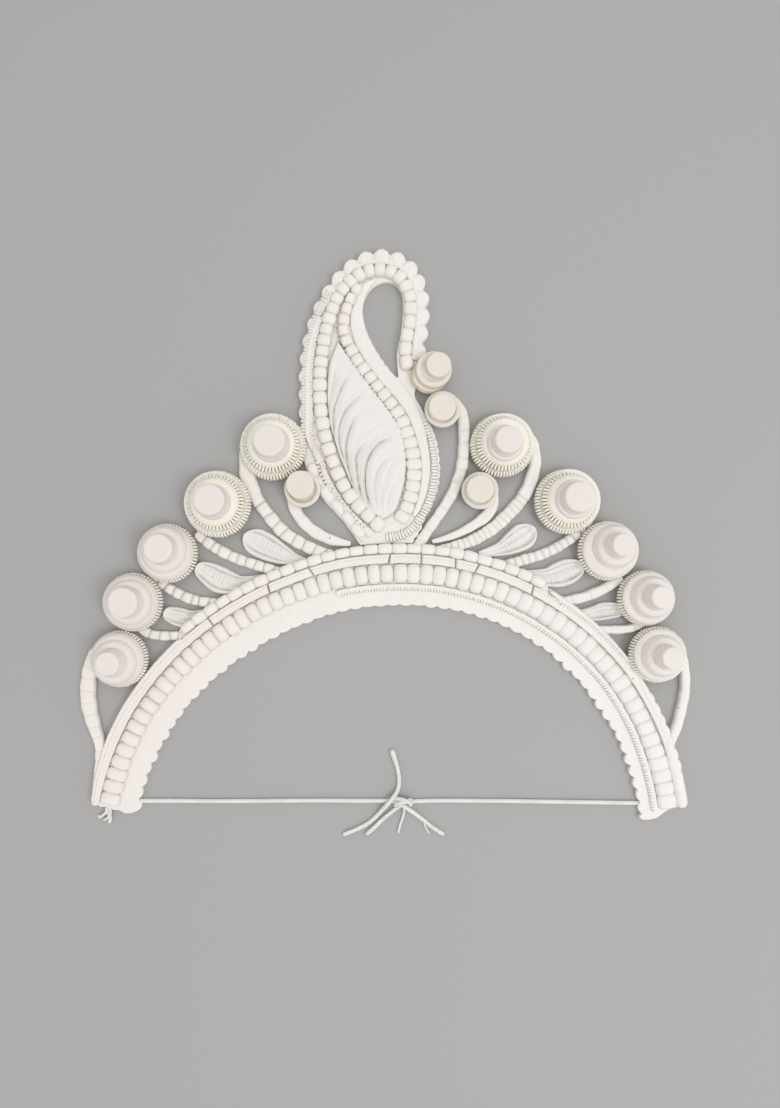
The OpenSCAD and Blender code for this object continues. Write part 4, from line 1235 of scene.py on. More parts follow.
# The plain strip between the inner beads and the hole, and on down to the foot: place and width
STRIP_ROUTE = [
    (-4.2, 101.2, 1.6), (-6.9, 99.6, 2.6), (-9.2, 96.6, 3.2), (-10.7, 92.3, 3.6), (-11.7, 88, 4.8),
    (-11.6, 83.6, 5.6), (-10.4, 78.8, 6), (-8.5, 74.6, 6.2), (-3.9, 67.2, 6), (0.4, 61.8, 6),
    (5.2, 56.2, 5.8), (9.8, 50, 5.4), (12.6, 43.6, 4.8), (14.7, 36.5, 4.2), (16.1, 29, 3.7), (16.1, 22, 3.4),
    (15.3, 16, 3.1), (13.7, 10.6, 2.6), (11.3, 5.6, 1.8),
]
OUTER_BEAD_ROUTE = [
    (9, 65), (8, 71), (8.6, 78.5), (9.8, 84), (10.2, 89.5), (9.6, 95), (7.4, 100), (3.5, 103.8),
    (-1.2, 105.2), (-5.8, 105), (-10.6, 103.2), (-15, 99.9), (-18.8, 95.2), (-21.4, 89.5),
    (-23.9, 81.2), (-25.6, 72), (-26.6, 63), (-26.6, 53), (-25.6, 43.5), (-23.4, 33.5),
    (-20.4, 25), (-16.6, 17), (-11.4, 10), (-4.6, 3.4), (-1.2, 0.6),
]
# The outer beads differ along their row: up to which share of its run, how many beads, their length across
OUTER_STRETCHES = ((0.16, 5, 5.6), (0.6, 17, 5.6), (1.0, 13, 5.7))
INNER_BEAD_ROUTE = [
    (-10.4, 98.8), (-14, 93.8), (-16.2, 88), (-17.2, 82), (-16, 76.6), (-11, 67.8), (-5.2, 60.2),
    (1, 52.4), (6, 45.4), (9.2, 37.5), (11.2, 29), (11.2, 19.5), (9, 10), (5.4, 3.4),
]
LEAF_RIGHT = [
    (-19.3, 76.6), (-12, 66.2), (-5.4, 57.5), (1, 49.1), (5.9, 41.3), (8.1, 32), (8.1, 22), (6, 12.6),
    (3.6, 7.4), (-1.2, 4),
]
LEAF_LEFT = [
    (-19.3, 76.6), (-22.9, 67), (-23.8, 56), (-22.9, 44), (-19.5, 31.8), (-15.3, 21.2), (-9.8, 10.4),
    (-1.2, 4),
]
# Grooves of the leaf: how deep each is, then its places from the top down
LEAF_GROOVES = [
    (0.8, [(-19.9, 66.5), (-20.9, 60.2), (-22.1, 55.4), (-22.9, 50.7), (-22.7, 45.3), (-21.9, 41)]),
    (1.2, [
        (-14.6, 62.6), (-17.4, 58.5), (-19.5, 53.4), (-20.9, 49), (-21.3, 44.1), (-21.3, 41.5),
        (-20.5, 36.1)]),
    (1.3, [
        (-9.6, 54.2), (-12.8, 51.9), (-15.8, 48.7), (-17.9, 44.7), (-18.9, 40.1), (-19, 37.3), (-18.7, 34.3),
        (-17.5, 29.7), (-16.2, 26)]),
    (1.3, [
        (-11.4, 47), (-13.3, 43.9), (-15.2, 38.9), (-16.1, 33.8), (-15.8, 28.6), (-14.8, 23.2), (-13.5, 18.8),
        (-12.2, 16.2)]),
    (1.3, [
        (-7.4, 35.6), (-10, 33.5), (-11.9, 29.4), (-11.8, 24.8), (-11.1, 19.1), (-9.9, 13.6), (-8.6, 11.2)]),
    (1.4, [
        (3.4, 37.6), (-1.8, 35.5), (-5.3, 32), (-7.6, 27.2), (-8.4, 21.7), (-8.1, 16.2), (-6.8, 11.1),
        (-5.6, 8.8)]),
    (0.8, [(5, 30), (-0.4, 27.7), (-3.3, 23.2), (-4.6, 17.6), (-4.4, 14.2), (-3.3, 9.4)]),
    (0.5, [(6.4, 28), (2.3, 26), (-0.5, 18.5), (-1.7, 12.7), (-1.6, 8.6)]),
    (0.5, [(6.6, 20), (3.4, 18.4), (1.4, 13.6), (0.6, 8)]),
    (0.4, [(4, 42), (0.9, 42.5), (-4.4, 41.7), (-9.4, 37)]),
    (0.35, [(-2, 51), (-7, 49), (-13.4, 43.9)]),
    (0.35, [(-7, 57.4), (-12, 55), (-16.4, 50)]),
]
# Small ribs down the right side, which fan out round the foot
TICK_ROUTE = [
    (16.1, 43.6), (18.2, 36.4), (19.6, 29), (19.7, 22.5), (18.9, 16), (17, 10), (14.6, 5.6), (11.8, 1.6),
    (8.6, -1), (4.8, -2.5), (0, -3.1),
]
# Pin holes of the paisley, and one row of dark dashes that paints the shadow in the gap between the leaf and
# the inner
# beads. Each row: the bead row that it follows and the part of its run, how far to the left of it and how
# high above the layer it lies, then count, share of the pitch, length, height, squareness, unevenness, turn
# and seed
PAISLEY_HOLES_AND_SHADOW_GAP = [
    (OUTER_BEAD_ROUTE, 0.5, 0.94, 2.55, 1.2, 17, 0.13, 0.5, 0.7, 2.2, 0.5, 0.8, 26),
    (INNER_BEAD_ROUTE, 0.6, 0.94, -3.1, 1.6, 10, 0.16, 0.6, 1.0, 2.2, 0.5, 0.8, 27),
    # Painted shadow: dark dashes in the gap between the leaf and the inner beads
    (INNER_BEAD_ROUTE, 0.17, 0.6, -2.6, 1.5, 26, 0.7, 0.3, 1.0, 2.4, 0.4, 0.25, 37),
    (OUTER_BEAD_ROUTE, 0.5, 0.84, -3.0, 0.5, 11, 0.12, 0.5, 0.8, 2.2, 0.5, 0.8, 36),
    (OUTER_BEAD_ROUTE, 0.8, 0.98, -3.1, 0.6, 26, 0.36, 0.55, 0.7, 2.2, 0.4, 0.8, 38),
    (OUTER_BEAD_ROUTE, 0.84, 0.97, -4.6, 0.9, 13, 0.28, 0.5, 0.45, 2.2, 0.4, 0.8, 39),
]
# Radius on the band down to which the paisley's sheet reaches
FOOT_R = 129.55
INNER_PAISLEY_BEADS = 24
LEAF_LENGTHWISE = 150
LEAF_ACROSS = 141


def angle_of(place):
    return math.degrees(math.atan2(place[0] - ARC[0], place[1] - ARC[1]))


def scalloped_plate():
    edge = smooth(PLATE_EDGE, 24)
    run = run_of(edge)
    share = (run / run[-1] - SCALLOPS_FROM) / (SCALLOPS_TO - SCALLOPS_FROM)
    lobes = SCALLOP_H * (np.abs(np.sin(np.pi * share * SCALLOPS)) - 0.5)
    nibbled = 0.5 * (np.abs(np.sin(run * 0.95)) - 0.6) * soft_step(share, 1.2, 1.24)
    edge = edge + left_of(edge) * np.where((share < 0) | (share > 1), nibbled, lobes)[:, None]
    edge = edge[band_radius(edge) > FOOT_R + 0.05]
    foot_angles = np.linspace(angle_of(edge[-1]), angle_of(edge[0]), 12)
    return np.vstack([edge, on_band(foot_angles, FOOT_R)])


def leaf_grooves(x, y):
    """Grooves cut into the leaf, steep on their left and soft on their right, with a low crest beside each.
    Gives their height and the shade that lies in them."""
    height = np.zeros_like(x)
    shade = np.zeros_like(x)
    places = np.column_stack([x.ravel(), y.ravel()])
    rows = np.arange(len(places))
    for deep, route in LEAF_GROOVES:
        line, run = evenly(smooth(route, 10), 0.6)
        ahead = np.gradient(line, axis=0)
        ahead = ahead / np.linalg.norm(ahead, axis=1)[:, None]
        gap = places[:, None, :] - line[None, :, :]
        distance = np.linalg.norm(gap, axis=2)
        near = distance.argmin(axis=1)
        away = distance[rows, near]
        turn = ahead[near, 0] * gap[rows, near, 1] - ahead[near, 1] * gap[rows, near, 0]
        right = np.where(turn > 0, away, -away)
        strength = deep * soft_step(run, -2.0, 6.0)[near] * soft_step(run[-1] - run, -2.0, 4.0)[near]
        steep = np.clip(1 + (right + 0.35) / 0.75, 0, 1)
        soft = np.exp(-((right + 0.35) / 1.15).clip(0) ** 1.5)
        cut = np.where(right < -0.35, steep, soft)
        crest = 0.35 * np.exp(-((right + 1.35) / 0.5) ** 2) + 0.2 * np.exp(-((right - 2.6) / 0.9) ** 2)
        height += (strength * (crest - 1.35 * cut)).reshape(x.shape)
        dark = strength / 1.2 * np.exp(-((right - 0.15) / 0.55) ** 2)
        shade = np.maximum(shade, dark.reshape(x.shape))
    return np.clip(height, -2.2, 1.2), shade


def leaf_side(route, outward):
    """One side of the leaf from its upper tip to its foot, with both ends moved a little outward."""
    line = smooth(route, 12)
    side = at_runs(line, np.linspace(0, 1, LEAF_LENGTHWISE) * run_of(line)[-1])
    side[0] += (0.25 * outward, -0.2)
    side[-1] += (0.4 * outward, 0)
    return side


def make_leaf():
    left = leaf_side(LEAF_LEFT, -1)
    right = leaf_side(LEAF_RIGHT, 1)
    across = np.linspace(0, 1, LEAF_ACROSS)
    x = left[:, None, 0] * (1 - across) + right[:, None, 0] * across
    y = left[:, None, 1] * (1 - across) + right[:, None, 1] * across
    width = np.linalg.norm(right - left, axis=1)[:, None]
    from_edge = np.minimum(across, 1 - across)[None, :] * width
    run = run_of(left)[:, None]
    from_end = np.minimum(run, run[-1] - run)
    ease = np.clip(np.minimum(from_edge, from_end) / 1.5, 0, 1)
    body = 2.4 * np.sqrt(1 - (1 - ease) ** 2)
    grooves, shade = leaf_grooves(x, y)
    grooves = grooves * ease
    rough = 0.05 * np.sin(x * 3.1 + y * 1.7) * np.sin(y * 2.3 - x) * ease
    z = LAYER_LOW + body + grooves + rough
    sections = np.zeros((LEAF_LENGTHWISE, LEAF_ACROSS, 3))
    sections[:, :, 0], sections[:, :, 1], sections[:, :, 2] = x, y, z
    sections[:, 0, 2] = LAYER_LOW
    sections[:, -1, 2] = LAYER_LOW
    # Painted shade along the leaf's edge, where it meets the sheet, and in its grooves
    seam = np.maximum(1 - ease * 2.2, 0.9 * shade)
    points, faces = loft(sections)
    mesh = make_mesh("leaf", points, faces, LEAF, seam)
    make_piece("carved_paisley_leaf", [mesh], ["paisley_leaf"])


def make_lobes():
    """The puffed scallops round the paisley, one sheet whose outer edge waves."""
    edge, _ = evenly(smooth(PLATE_EDGE, 24), 0.25)
    run = run_of(edge)
    along = run / run[-1]
    keep = (along >= SCALLOPS_FROM) & (along <= SCALLOPS_TO)
    side = left_of(edge)[keep]
    edge, along = edge[keep], along[keep]
    swell = np.abs(np.sin(np.pi * (along - SCALLOPS_FROM) / (SCALLOPS_TO - SCALLOPS_FROM) * SCALLOPS))
    outer = SCALLOP_H * (swell - 0.5)
    inner = -1.7 - 2.7 * soft_step(along, 0.33, 0.4) - 1.3 * soft_step(along, 0.45, 0.51)
    inner = inner + 0.4 * soft_step(along, 0.57, 0.67)
    u = np.linspace(0, 1, 17)
    reach = inner[:, None] + (outer - inner)[:, None] * u[None, :]
    crown = np.clip(1 - np.abs(2 * u - 1) ** 4, 0, 1) ** 0.4
    dip = 1 - 0.75 * (1 - swell[:, None]) ** 1.8 * soft_step(u, 0.1, 0.75)[None, :]
    body = (0.9 + 0.7 * soft_step(along, 0.31, 0.41))[:, None] * crown[None, :] * dip
    body = body + 0.12 * np.sin(run[keep][:, None] * 2.1) * np.sin(u[None, :] * 9) * crown[None, :]
    sections = np.zeros((len(edge), len(u), 3))
    sections[:, :, :2] = edge[:, None, :] + side[:, None, :] * reach[:, :, None]
    sections[:, :, 2] = SHEET_TOP - 0.1 + body
    # Painted shade in the valleys between the lobes, with glue tint, and a little along their inner edge
    seam = 0.6 * np.exp(-(swell[:, None] / 0.12) ** 2) * soft_step(u, 0.3, 0.7)[None, :]
    seam = np.maximum(seam, 0.15 * (u[None, :] < 0.04))
    points, faces = loft(sections)
    return make_mesh("lobes", points, faces, SHEET, seam)


def make_plate():
    """The sheet of the paisley, its puffed scallops, and the fine hatch along them on the left."""
    plate = cut_sheet("plate", [scalloped_plate(), smooth_ring(PLATE_HOLE, 10)], 0.0, SHEET_TOP, 0.4, SHEET)
    hatched = part_of(smooth(PLATE_EDGE, 24), 0.19, 0.4105)
    along = np.linspace(0, 1, len(hatched))
    inset = np.interp(along, (0, 0.7, 1), (-1.35, -1.5, -2.0))
    hatched = hatched + left_of(hatched) * inset[:, None]
    higher = 1 + 0.5 * soft_step(along, 0.5, 0.85)
    count = int(run_of(hatched)[-1] / 1.25)
    hatch = row_mesh(
        with_height(hatched, SHEET_TOP - 0.1), count, 0.82, 2.9, 1.5, SHEET, square=4, full=2.6, detail=5,
        uneven=0.12, turn=0.08, seed=41, lift=higher)
    make_piece("carved_paisley_plate", [plate, make_lobes(), hatch], ["paisley_plate"])


def border_mesh(edge):
    """The border up the left side, with its fine cuts."""
    border = part_of(edge, 0.14, 0.369)
    inset = np.interp(np.linspace(0, 1, len(border)), (0, 0.05, 0.235, 1), (-7.6, -6.5, -3.3, -3.3))
    border = border + left_of(border) * inset[:, None]
    run = run_of(border)
    width = np.interp(run / run[-1], (0, 0.3, 0.8, 1), (2.2, 3.4, 3.7, 2.6))
    cuts = spaced(run[-1], 1.3, 1.0, uneven=0.08, seed=31)
    return strip_mesh(
        "border", border, width, LAYER_LOW, LAYER_LOW + 1.3, SHEET, step=0.2, shape=3.4, across=13, cuts=cuts,
        cut_half=0.26, cut_depth=0.45, cut_side=-1, edge_glue_and_shade=0.5,
        relief=lambda r, u, h: -0.35 * np.exp(-((u - 0.05) / 0.12) ** 2))


def foot_mesh(edge):
    """The blocks that the border breaks up into near the band."""
    foot = moved_left(part_of(edge, 0.015, 0.15), -2.5)
    cuts = spaced(run_of(foot)[-1], 6.2, 2.4, uneven=0.1, seed=22)
    return strip_mesh(
        "foot", foot, 4.4, LAYER_LOW, LAYER_LOW + 1.7, SHEET, step=0.2, shape=2.6, across=15, cuts=cuts,
        cut_half=0.32, cut_depth=0.3, pinch=0.26, puff=0.4, puff_half=1.3, slant=0.3, edge_glue_and_shade=0.35,
        line=0.6, soft_end=1.5)


def filling_mesh(outer):
    """The filling between the outer beads and the foot."""
    path = moved_left(part_of(outer, 0.79, 0.99), -4.7)
    width = np.interp(np.linspace(0, 1, len(path)), (0, 0.3, 0.7, 1), (1.6, 3.2, 3.6, 3.4))
    cuts = spaced(run_of(path)[-1], 2.1, 1.2, uneven=0.1, seed=33)
    return strip_mesh(
        "filling", path, width, LAYER_LOW, LAYER_LOW + 1.2, SHEET, step=0.2, shape=2.8, across=13, cuts=cuts,
        cut_half=0.28, cut_depth=0.25, puff=0.12, puff_half=0.7, slant=0.3, edge_glue_and_shade=0.4, line=0.4,
        soft_end=1.5)


def nodule_row(edge):
    path = moved_left(part_of(edge, 0.05, 0.2), -4.9)
    count = int(run_of(path)[-1] / 1.7)
    return row_mesh(
        with_height(path, LAYER_LOW + 0.1), count, 0.85, 1.7, 1.8, STEM, square=2.4, full=2.2, detail=5,
        uneven=0.3, turn=0.4, seed=34)


def make_border(outer):
    edge = smooth(PLATE_EDGE, 24)
    parts = [border_mesh(edge), foot_mesh(edge), filling_mesh(outer), nodule_row(edge)]
    make_piece("carved_paisley_border", parts, ["paisley_border"])


def make_hole_strip():
    """The plain strip by the hole, and the small ribs that fan out round the foot."""
    strip = smooth(STRIP_ROUTE, 8)

    def hole_wave(at):
        waves = 0.42 * (np.abs(np.sin(at * 0.92)) - 0.6) * soft_step(at, 14, 20) * (1 - soft_step(at, 48, 54))
        return waves + 0.1 * np.sin(at * 0.37)

    plain = strip_mesh(
        "plain", strip, strip[:, 2], LAYER_LOW, LAYER_LOW + 1.0, SHEET, step=0.35, shape=3.4, across=15,
        edge_glue_and_shade=0.25, wave=hole_wave, soft_end=2.6,
        relief=lambda r, u, h: 0.14 * np.sin(r * 0.5) * (1 - u**4) - 0.12 * u * (1 - u**6))
    ticks = smooth(TICK_ROUTE, 8)
    length = np.interp(run_of(ticks), (0, 10, 25, 45, 60), (0.55, 0.75, 0.95, 1.1, 1.15))
    fan = row_mesh(
        with_height(ticks, LAYER_LOW - 0.05), 44, 1.04, 3.5, 1.15, SHEET, square=3.0, full=2.3, detail=7,
        uneven=0.12, turn=0.1, seed=23, spread=length)
    make_piece("carved_paisley_strip", [plain, fan], ["paisley_strip"])


def make_paisley_beads(outer):
    parts = []
    begun = 0.0
    for number, (share, count, across) in enumerate(OUTER_STRETCHES):
        stretch = part_of(outer, begun, share)
        parts.append(row_mesh(
            with_height(stretch, LAYER_LOW - 0.1), count, 1.12, across, 3.7, BEAD, square=3.5, full=2.8,
            detail=8, uneven=0.07, turn=0.07, seed=24 + 20 * number))
        begun = share
    make_piece("carved_paisley_beads_outer", parts, ["paisley_beads_outer"])
    inner = smooth(INNER_BEAD_ROUTE, 8)
    down = run_of(inner)
    lower = 1 - 0.4 * soft_step(down, 56, 76)
    longer = np.interp(down, (0, 12, 30, 55, 72), (0.9, 0.95, 1.08, 1.14, 1.36))
    beads = row_mesh(
        with_height(inner, LAYER_LOW - 0.1), INNER_PAISLEY_BEADS, 1.12, 4.6, 3.7, BEAD, square=3.5, full=2.8,
        detail=8, uneven=0.07, turn=0.07, seed=25, lift=lower, spread=longer)
    make_piece("carved_paisley_beads_inner", [beads], ["paisley_beads_inner"])


def make_paisley_holes_and_shadow_gap():
    holes = []
    for row in PAISLEY_HOLES_AND_SHADOW_GAP:
        route, start, stop, left, up, count, fill, length, height, square, uneven, turn, seed = row
        path = moved_left(part_of(smooth(route, 8), start, stop), left)
        holes.append(row_mesh(
            with_height(path, LAYER_LOW + up), count, fill, length, height, PINHOLE_AND_SHADOW, square=square, full=2.2,
            detail=4, uneven=uneven, turn=turn, seed=seed))
    make_piece("pin_holes_and_painted_shadow_paisley", holes, [])


def make_paisley():
    outer = smooth(OUTER_BEAD_ROUTE, 8)
    make_plate()
    make_border(outer)
    make_hole_strip()
    make_paisley_beads(outer)
    make_paisley_holes_and_shadow_gap()
    make_leaf()


# Buttons

# Place of the disc, its radius; radius of the tier's foot and shoulder, height of the shoulder; radius
# and height of the step on it; how far step and cap are glued off the middle; radius and height of the cap
BIG_BUTTONS = {
    "left_1": (-45.5, 33.2, 13.4, 11.1, 8.7, 12, 7.2, 14.4, 0.3, -0.3, 6.3, 20),
    "left_2": (-67.8, 10.2, 13.5, 11.2, 8.6, 12, 7, 14.2, -0.5, -0.2, 6.1, 20),
    "left_3": (-87.9, -9.6, 12, 11.1, 9.8, 10.8, 8.4, 13, -0.1, 1, 5.7, 19.5),
    "left_4": (-101.8, -29.3, 11.9, 11, 9.7, 10.8, 8.4, 13, 0.2, -0.1, 5.9, 19.5),
    "left_5": (-107.2, -52.1, 11.5, 10.6, 9.4, 10.8, 8.1, 13, -0.3, -0.9, 5.4, 19.5),
    "right_1": (46.9, 33.9, 12.9, 11.1, 9, 12, 7.2, 13.6, -0.1, -0.6, 5.4, 20),
    "right_2": (73.1, 11.3, 13.2, 11.2, 8.9, 12, 7.8, 13.6, 1.1, -0.1, 6, 20),
    "right_3": (89.5, -8.6, 12, 10.9, 9.6, 9, 8, 12.8, 1.4, 1.4, 4.7, 20),
    "right_4": (104.7, -27.7, 11.3, 10.3, 9.4, 9, 7.8, 12.8, 1.1, 0.3, 4.7, 20),
    "right_5": (109.3, -50.4, 11.4, 10.3, 9.3, 9, 7.6, 12.8, 0.5, -0.3, 4.6, 20),
}
# The first two of each side have their rim cut into long teeth and a second ring of ribs on their tier.
# Teeth and ribs have their full height on the side towards the crown's middle. On the far side they
# have this share of it, so that the cuts fade there.
FAR_SIDE = {"left_1": 0.97, "left_2": 0.95, "right_1": 0.9, "right_2": 0.86}
PLAIN_FAR_SIDE = 0.84
DISC_TOP = 7.2
TIER_LOW = 7.3
# How much narrower a cap's wall is at its top
CAP_TAPER = {"left_5": 0.9, "right_3": 0.35, "right_4": 0.35, "right_5": 0.35}
PLAIN_TAPER = 0.15
# Teeth round a rim: their length, count and share of the pitch
LONG_TEETH = (2.7, 62, 0.85)
SHORT_TEETH = (2.4, 56, 0.8)
# Ribs round a tier: the same
TIER_RIBS = (2.2, 46, 0.76)
RIB_HEIGHT = 3.1


def rib_ring(centre, radius, low, teeth, height, slope, facing, far_lift, seed):
    length, count, fill = teeth
    ring = circle(centre, radius, low)
    towards = (ring[:, :2] - np.asarray(centre)) @ facing / radius
    lift = far_lift + (1 - far_lift) * soft_step(towards, -0.35, 0.35)
    return row_mesh(
        ring, count, fill, length, height, RIBS, square=6, full=4.2, slope=slope, detail=7, uneven=0.06,
        turn=0.05, seed=seed, lift=lift, closed=True)


def make_disc(name, centre, facing, seed):
    disc_r, tier_r = BIG_BUTTONS[name][2:4]
    teeth = LONG_TEETH if name in FAR_SIDE else SHORT_TEETH
    tooth = teeth[0]
    back = 0.28 * tooth
    rim_r = disc_r - back - 0.05
    profile = rounded([
        (0, BUTTON_LOW), (rim_r - 0.2, BUTTON_LOW), (rim_r, BUTTON_LOW + 0.6), (rim_r, DISC_TOP - 0.35),
        (tier_r - 1.2, DISC_TOP - 0.15), (0, DISC_TOP - 0.1)], 0.5)
    core = turned(
        "disc", centre - facing * back, profile, RIBS, seams=[(rim_r, DISC_TOP - 1.4, 1.3)], seed=seed,
        turns=96, facing=facing)
    teeth_ring = rib_ring(
        centre, disc_r - tooth / 2, BUTTON_LOW, teeth, DISC_TOP - BUTTON_LOW, 0.12, facing,
        FAR_SIDE.get(name, PLAIN_FAR_SIDE), seed)
    make_piece("carved_disc_" + name, [core, teeth_ring], ["disc_" + name])


def ribbed_tier(name, centre, facing, seed):
    """A tier whose ribs stand round a narrower core."""
    tier_r, shoulder_r, shoulder_z = BIG_BUTTONS[name][3:6]
    core_r = tier_r - 1.4
    profile = rounded([
        (0, TIER_LOW), (core_r, TIER_LOW), (core_r, TIER_LOW + 2.8), (shoulder_r - 0.5, shoulder_z),
        (0, shoulder_z)], 0.9)
    core = turned(
        "tier", centre - facing * 0.6, profile, RIBS, turns=96, seed=seed + 1,
        seams=[(core_r, TIER_LOW + 0.4, 1.8)], facing=facing)
    ribs = rib_ring(
        centre, tier_r - 0.1 - TIER_RIBS[0] / 2, TIER_LOW, TIER_RIBS, RIB_HEIGHT, 0.3, facing,
        FAR_SIDE[name] - 0.04, seed + 3)
    return [core, ribs]


def plain_tier(name, centre, seed):
    tier_r, shoulder_r, shoulder_z = BIG_BUTTONS[name][3:6]
    profile = rounded([
        (0, TIER_LOW), (tier_r, TIER_LOW), (tier_r, TIER_LOW + 0.8), (shoulder_r, shoulder_z),
        (0, shoulder_z)], 1.1)
    return [turned("tier", centre, profile, CAP, turns=96, seed=seed + 1, seams=[(tier_r, TIER_LOW, 0.5)])]


def make_big_button(name, seed):
    x, y, _, _, shoulder_r, shoulder_z, step_r, step_z, off_x, off_y, cap_r, top = BIG_BUTTONS[name]
    centre = np.array((x, y))
    facing = np.array(EYE) - centre
    facing = facing / np.linalg.norm(facing)
    make_disc(name, centre, facing, seed)
    if name in FAR_SIDE:
        parts = ribbed_tier(name, centre, facing, seed)
        foot_r = step_r
    else:
        parts = plain_tier(name, centre, seed)
        foot_r = min(step_r + 0.8, shoulder_r - 0.3)
    taper = CAP_TAPER.get(name, PLAIN_TAPER)
    ledge_r = max(step_r - 0.5, cap_r + 0.6)
    above = rounded([
        (0, TIER_LOW), (foot_r, TIER_LOW), (foot_r, shoulder_z + 0.1), (ledge_r, step_z),
        (cap_r + 0.45, step_z + 0.05), (cap_r, step_z + 0.6), (cap_r - taper, top), (cap_r * 0.6, top),
        (cap_r * 0.25, top - 0.06), (0, top - 0.06)], 0.75)
    parts.append(turned(
        "cap", (x + off_x, y + off_y), above, CAP, turns=84, seed=seed + 2,
        seams=[(cap_r + 0.3, step_z + 0.2, 0.35)]))
    make_piece("carved_cap_" + name, parts, ["cap_" + name])


# Small buttons, from the bottom step up: place x and y, radius, height of the step's top

SMALL_BUTTONS = {
    "button_left": [(-33.6, 16.2, 7.3, 6.6), (-34.1, 17.2, 5.5, 11)],
    "button_right": [(37.9, 15.6, 7.4, 6.6), (37.2, 15.4, 5.4, 11.5)],
    "button_hook": [(17.6, 62.1, 7.3, 6.2), (19.1, 63.4, 7.1, 9.4), (20.6, 64.1, 4.8, 13)],
    "button_neck": [(22.8, 48.3, 7.2, 6.6), (22.3, 48, 5.3, 11)],
}
# How far a step's top sinks towards its middle, and how far the next step sinks into it
STEP_SINKS = 0.12
STEP_OVERLAP = 0.25


def make_small_button(name, steps):
    parts = []
    low = BUTTON_LOW
    for number, (x, y, radius, top) in enumerate(steps):
        last = number == len(steps) - 1
        lip = 0.0 if last else STEP_SINKS
        profile = rounded([
            (0, low), (radius - 0.15, low), (radius, low + 0.8), (radius, top), (radius * 0.8, top - lip),
            (radius * 0.3, top - lip - 0.05), (0, top - lip - 0.05)], 0.6)
        seams = [(radius, low + 0.5, 0.7)]
        if not last:
            next_radius = steps[number + 1][2]
            seams.append((next_radius, top, 0.7))
        parts.append(turned(name, (x, y), profile, SMALL_CAP, seams=seams, seed=90 + number))
        low = top - STEP_OVERLAP
    make_piece("carved_" + name, parts, [name])


# The cotton tie: its routes as the crown's source has them, in millimetres of the layout

LIE = 0.9
TIE_LEFT = [
    (-109, -110.5, LIE), (-99, -110.5, LIE), (-86, -110.5, LIE), (-73, -110.6, LIE),
    (-60, -110.6, LIE), (-47, -110.5, LIE), (-34, -110.4, LIE), (-21, -110.4, LIE),
    (-10, -110.5, LIE), (-3, -110.5, LIE), (2.4, -110.6, LIE), (4.8, -111, 2.2), (7, -112, 2.8),
    (9.4, -113.6, 2.4), (12, -115.6, 1.5), (15.5, -118.4, LIE), (19, -121.2, LIE),
    (24, -124.4, LIE),
]
TIE_RIGHT = [
    (113, -111.6, LIE), (103, -111.4, LIE), (90, -111.2, LIE), (77, -111, LIE), (64, -110.8, LIE),
    (51, -110.6, LIE), (38, -110.5, LIE), (26, -110.4, LIE), (17, -110.5, LIE), (11, -110.8, LIE),
    (7.6, -111.8, LIE), (4.6, -113.4, LIE), (2, -115.4, LIE), (-1, -117.9, LIE),
    (-4.2, -121, LIE), (-8, -124.4, LIE),
]
TIE_TAIL = [
    (2.5, -89.5, LIE), (3.6, -93, LIE), (4.8, -97, LIE), (5.5, -101, LIE), (5.4, -104.4, LIE),
    (4.4, -107, 1.7), (2.6, -109.2, 2.8), (0.6, -111.6, 2.9), (-1.4, -114, 1.8), (-4, -117, LIE),
    (-7.4, -119.8, LIE), (-12, -122.2, LIE), (-17.5, -124.4, LIE),
]
CORD_D = 1.8
STRANDS = 3
LAY_LENGTH = 5.5
# Points round a cord, how far apart they are along it, and the height below which none lies
CORD_SIDES = 15
CORD_STEP = 0.45
CORD_LOWEST = 0.02
# A cord's radius between its strands and how much they add to it, as shares of half its thickness
BETWEEN_STRANDS = 0.8
STRAND_SWELL = 0.2
KNOT_ROUTE = [
    (3.2, -109.6, 1.2), (4.8, -109.2, 2.6), (7.2, -109.4, 3.7), (9.6, -110.6, 3.4), (10.4, -112.4, 1.6)]
WRAP_ROUTE = [
    (3.4, -112.6, 1.4), (4.8, -111.2, 3.0), (6.6, -110.4, 4.1), (8.8, -110, 3.4), (10.6, -109.6, 1.3)]
YARN_ROUTE = [(7.4, -112.8, 2.0), (7.6, -114.8, 1.0), (7, -117.4, 0.7), (5.9, -120.6, 0.6), (5.2, -124, 0.5)]
BRANCH_ROUTE = [(15.8, -118.9, 0.8), (16, -120.4, 0.6), (16.8, -122.2, 0.5), (17.9, -124.1, 0.5)]
# The crumpled scrap of cord at the left leg: the route of each strand and its thickness
TUFT = [
    ([(-113.2, -111.6, 1.0), (-113.8, -114.4, 1.2), (-112.4, -117, 1.1), (-112.9, -119.8, 0.9)], 1.6),
    ([(-112.6, -113.2, 1.0), (-114.8, -115.8, 1.1), (-116.8, -117.2, 0.9), (-117.4, -116.2, 0.7)], 1.3),
    ([(-113, -112.6, 1.6), (-112, -115, 1.9), (-113.4, -117.4, 1.5), (-115.4, -118.4, 0.9)], 1.2),
]
# The tail is swollen where it begins: share of its run, share of its width
TAIL_WIDTHS = [(0, 1.25), (0.06, 1.3), (0.14, 1.0), (1, 1.0)]
EVEN_WIDTHS = [(0, 1.0), (1, 1.0)]


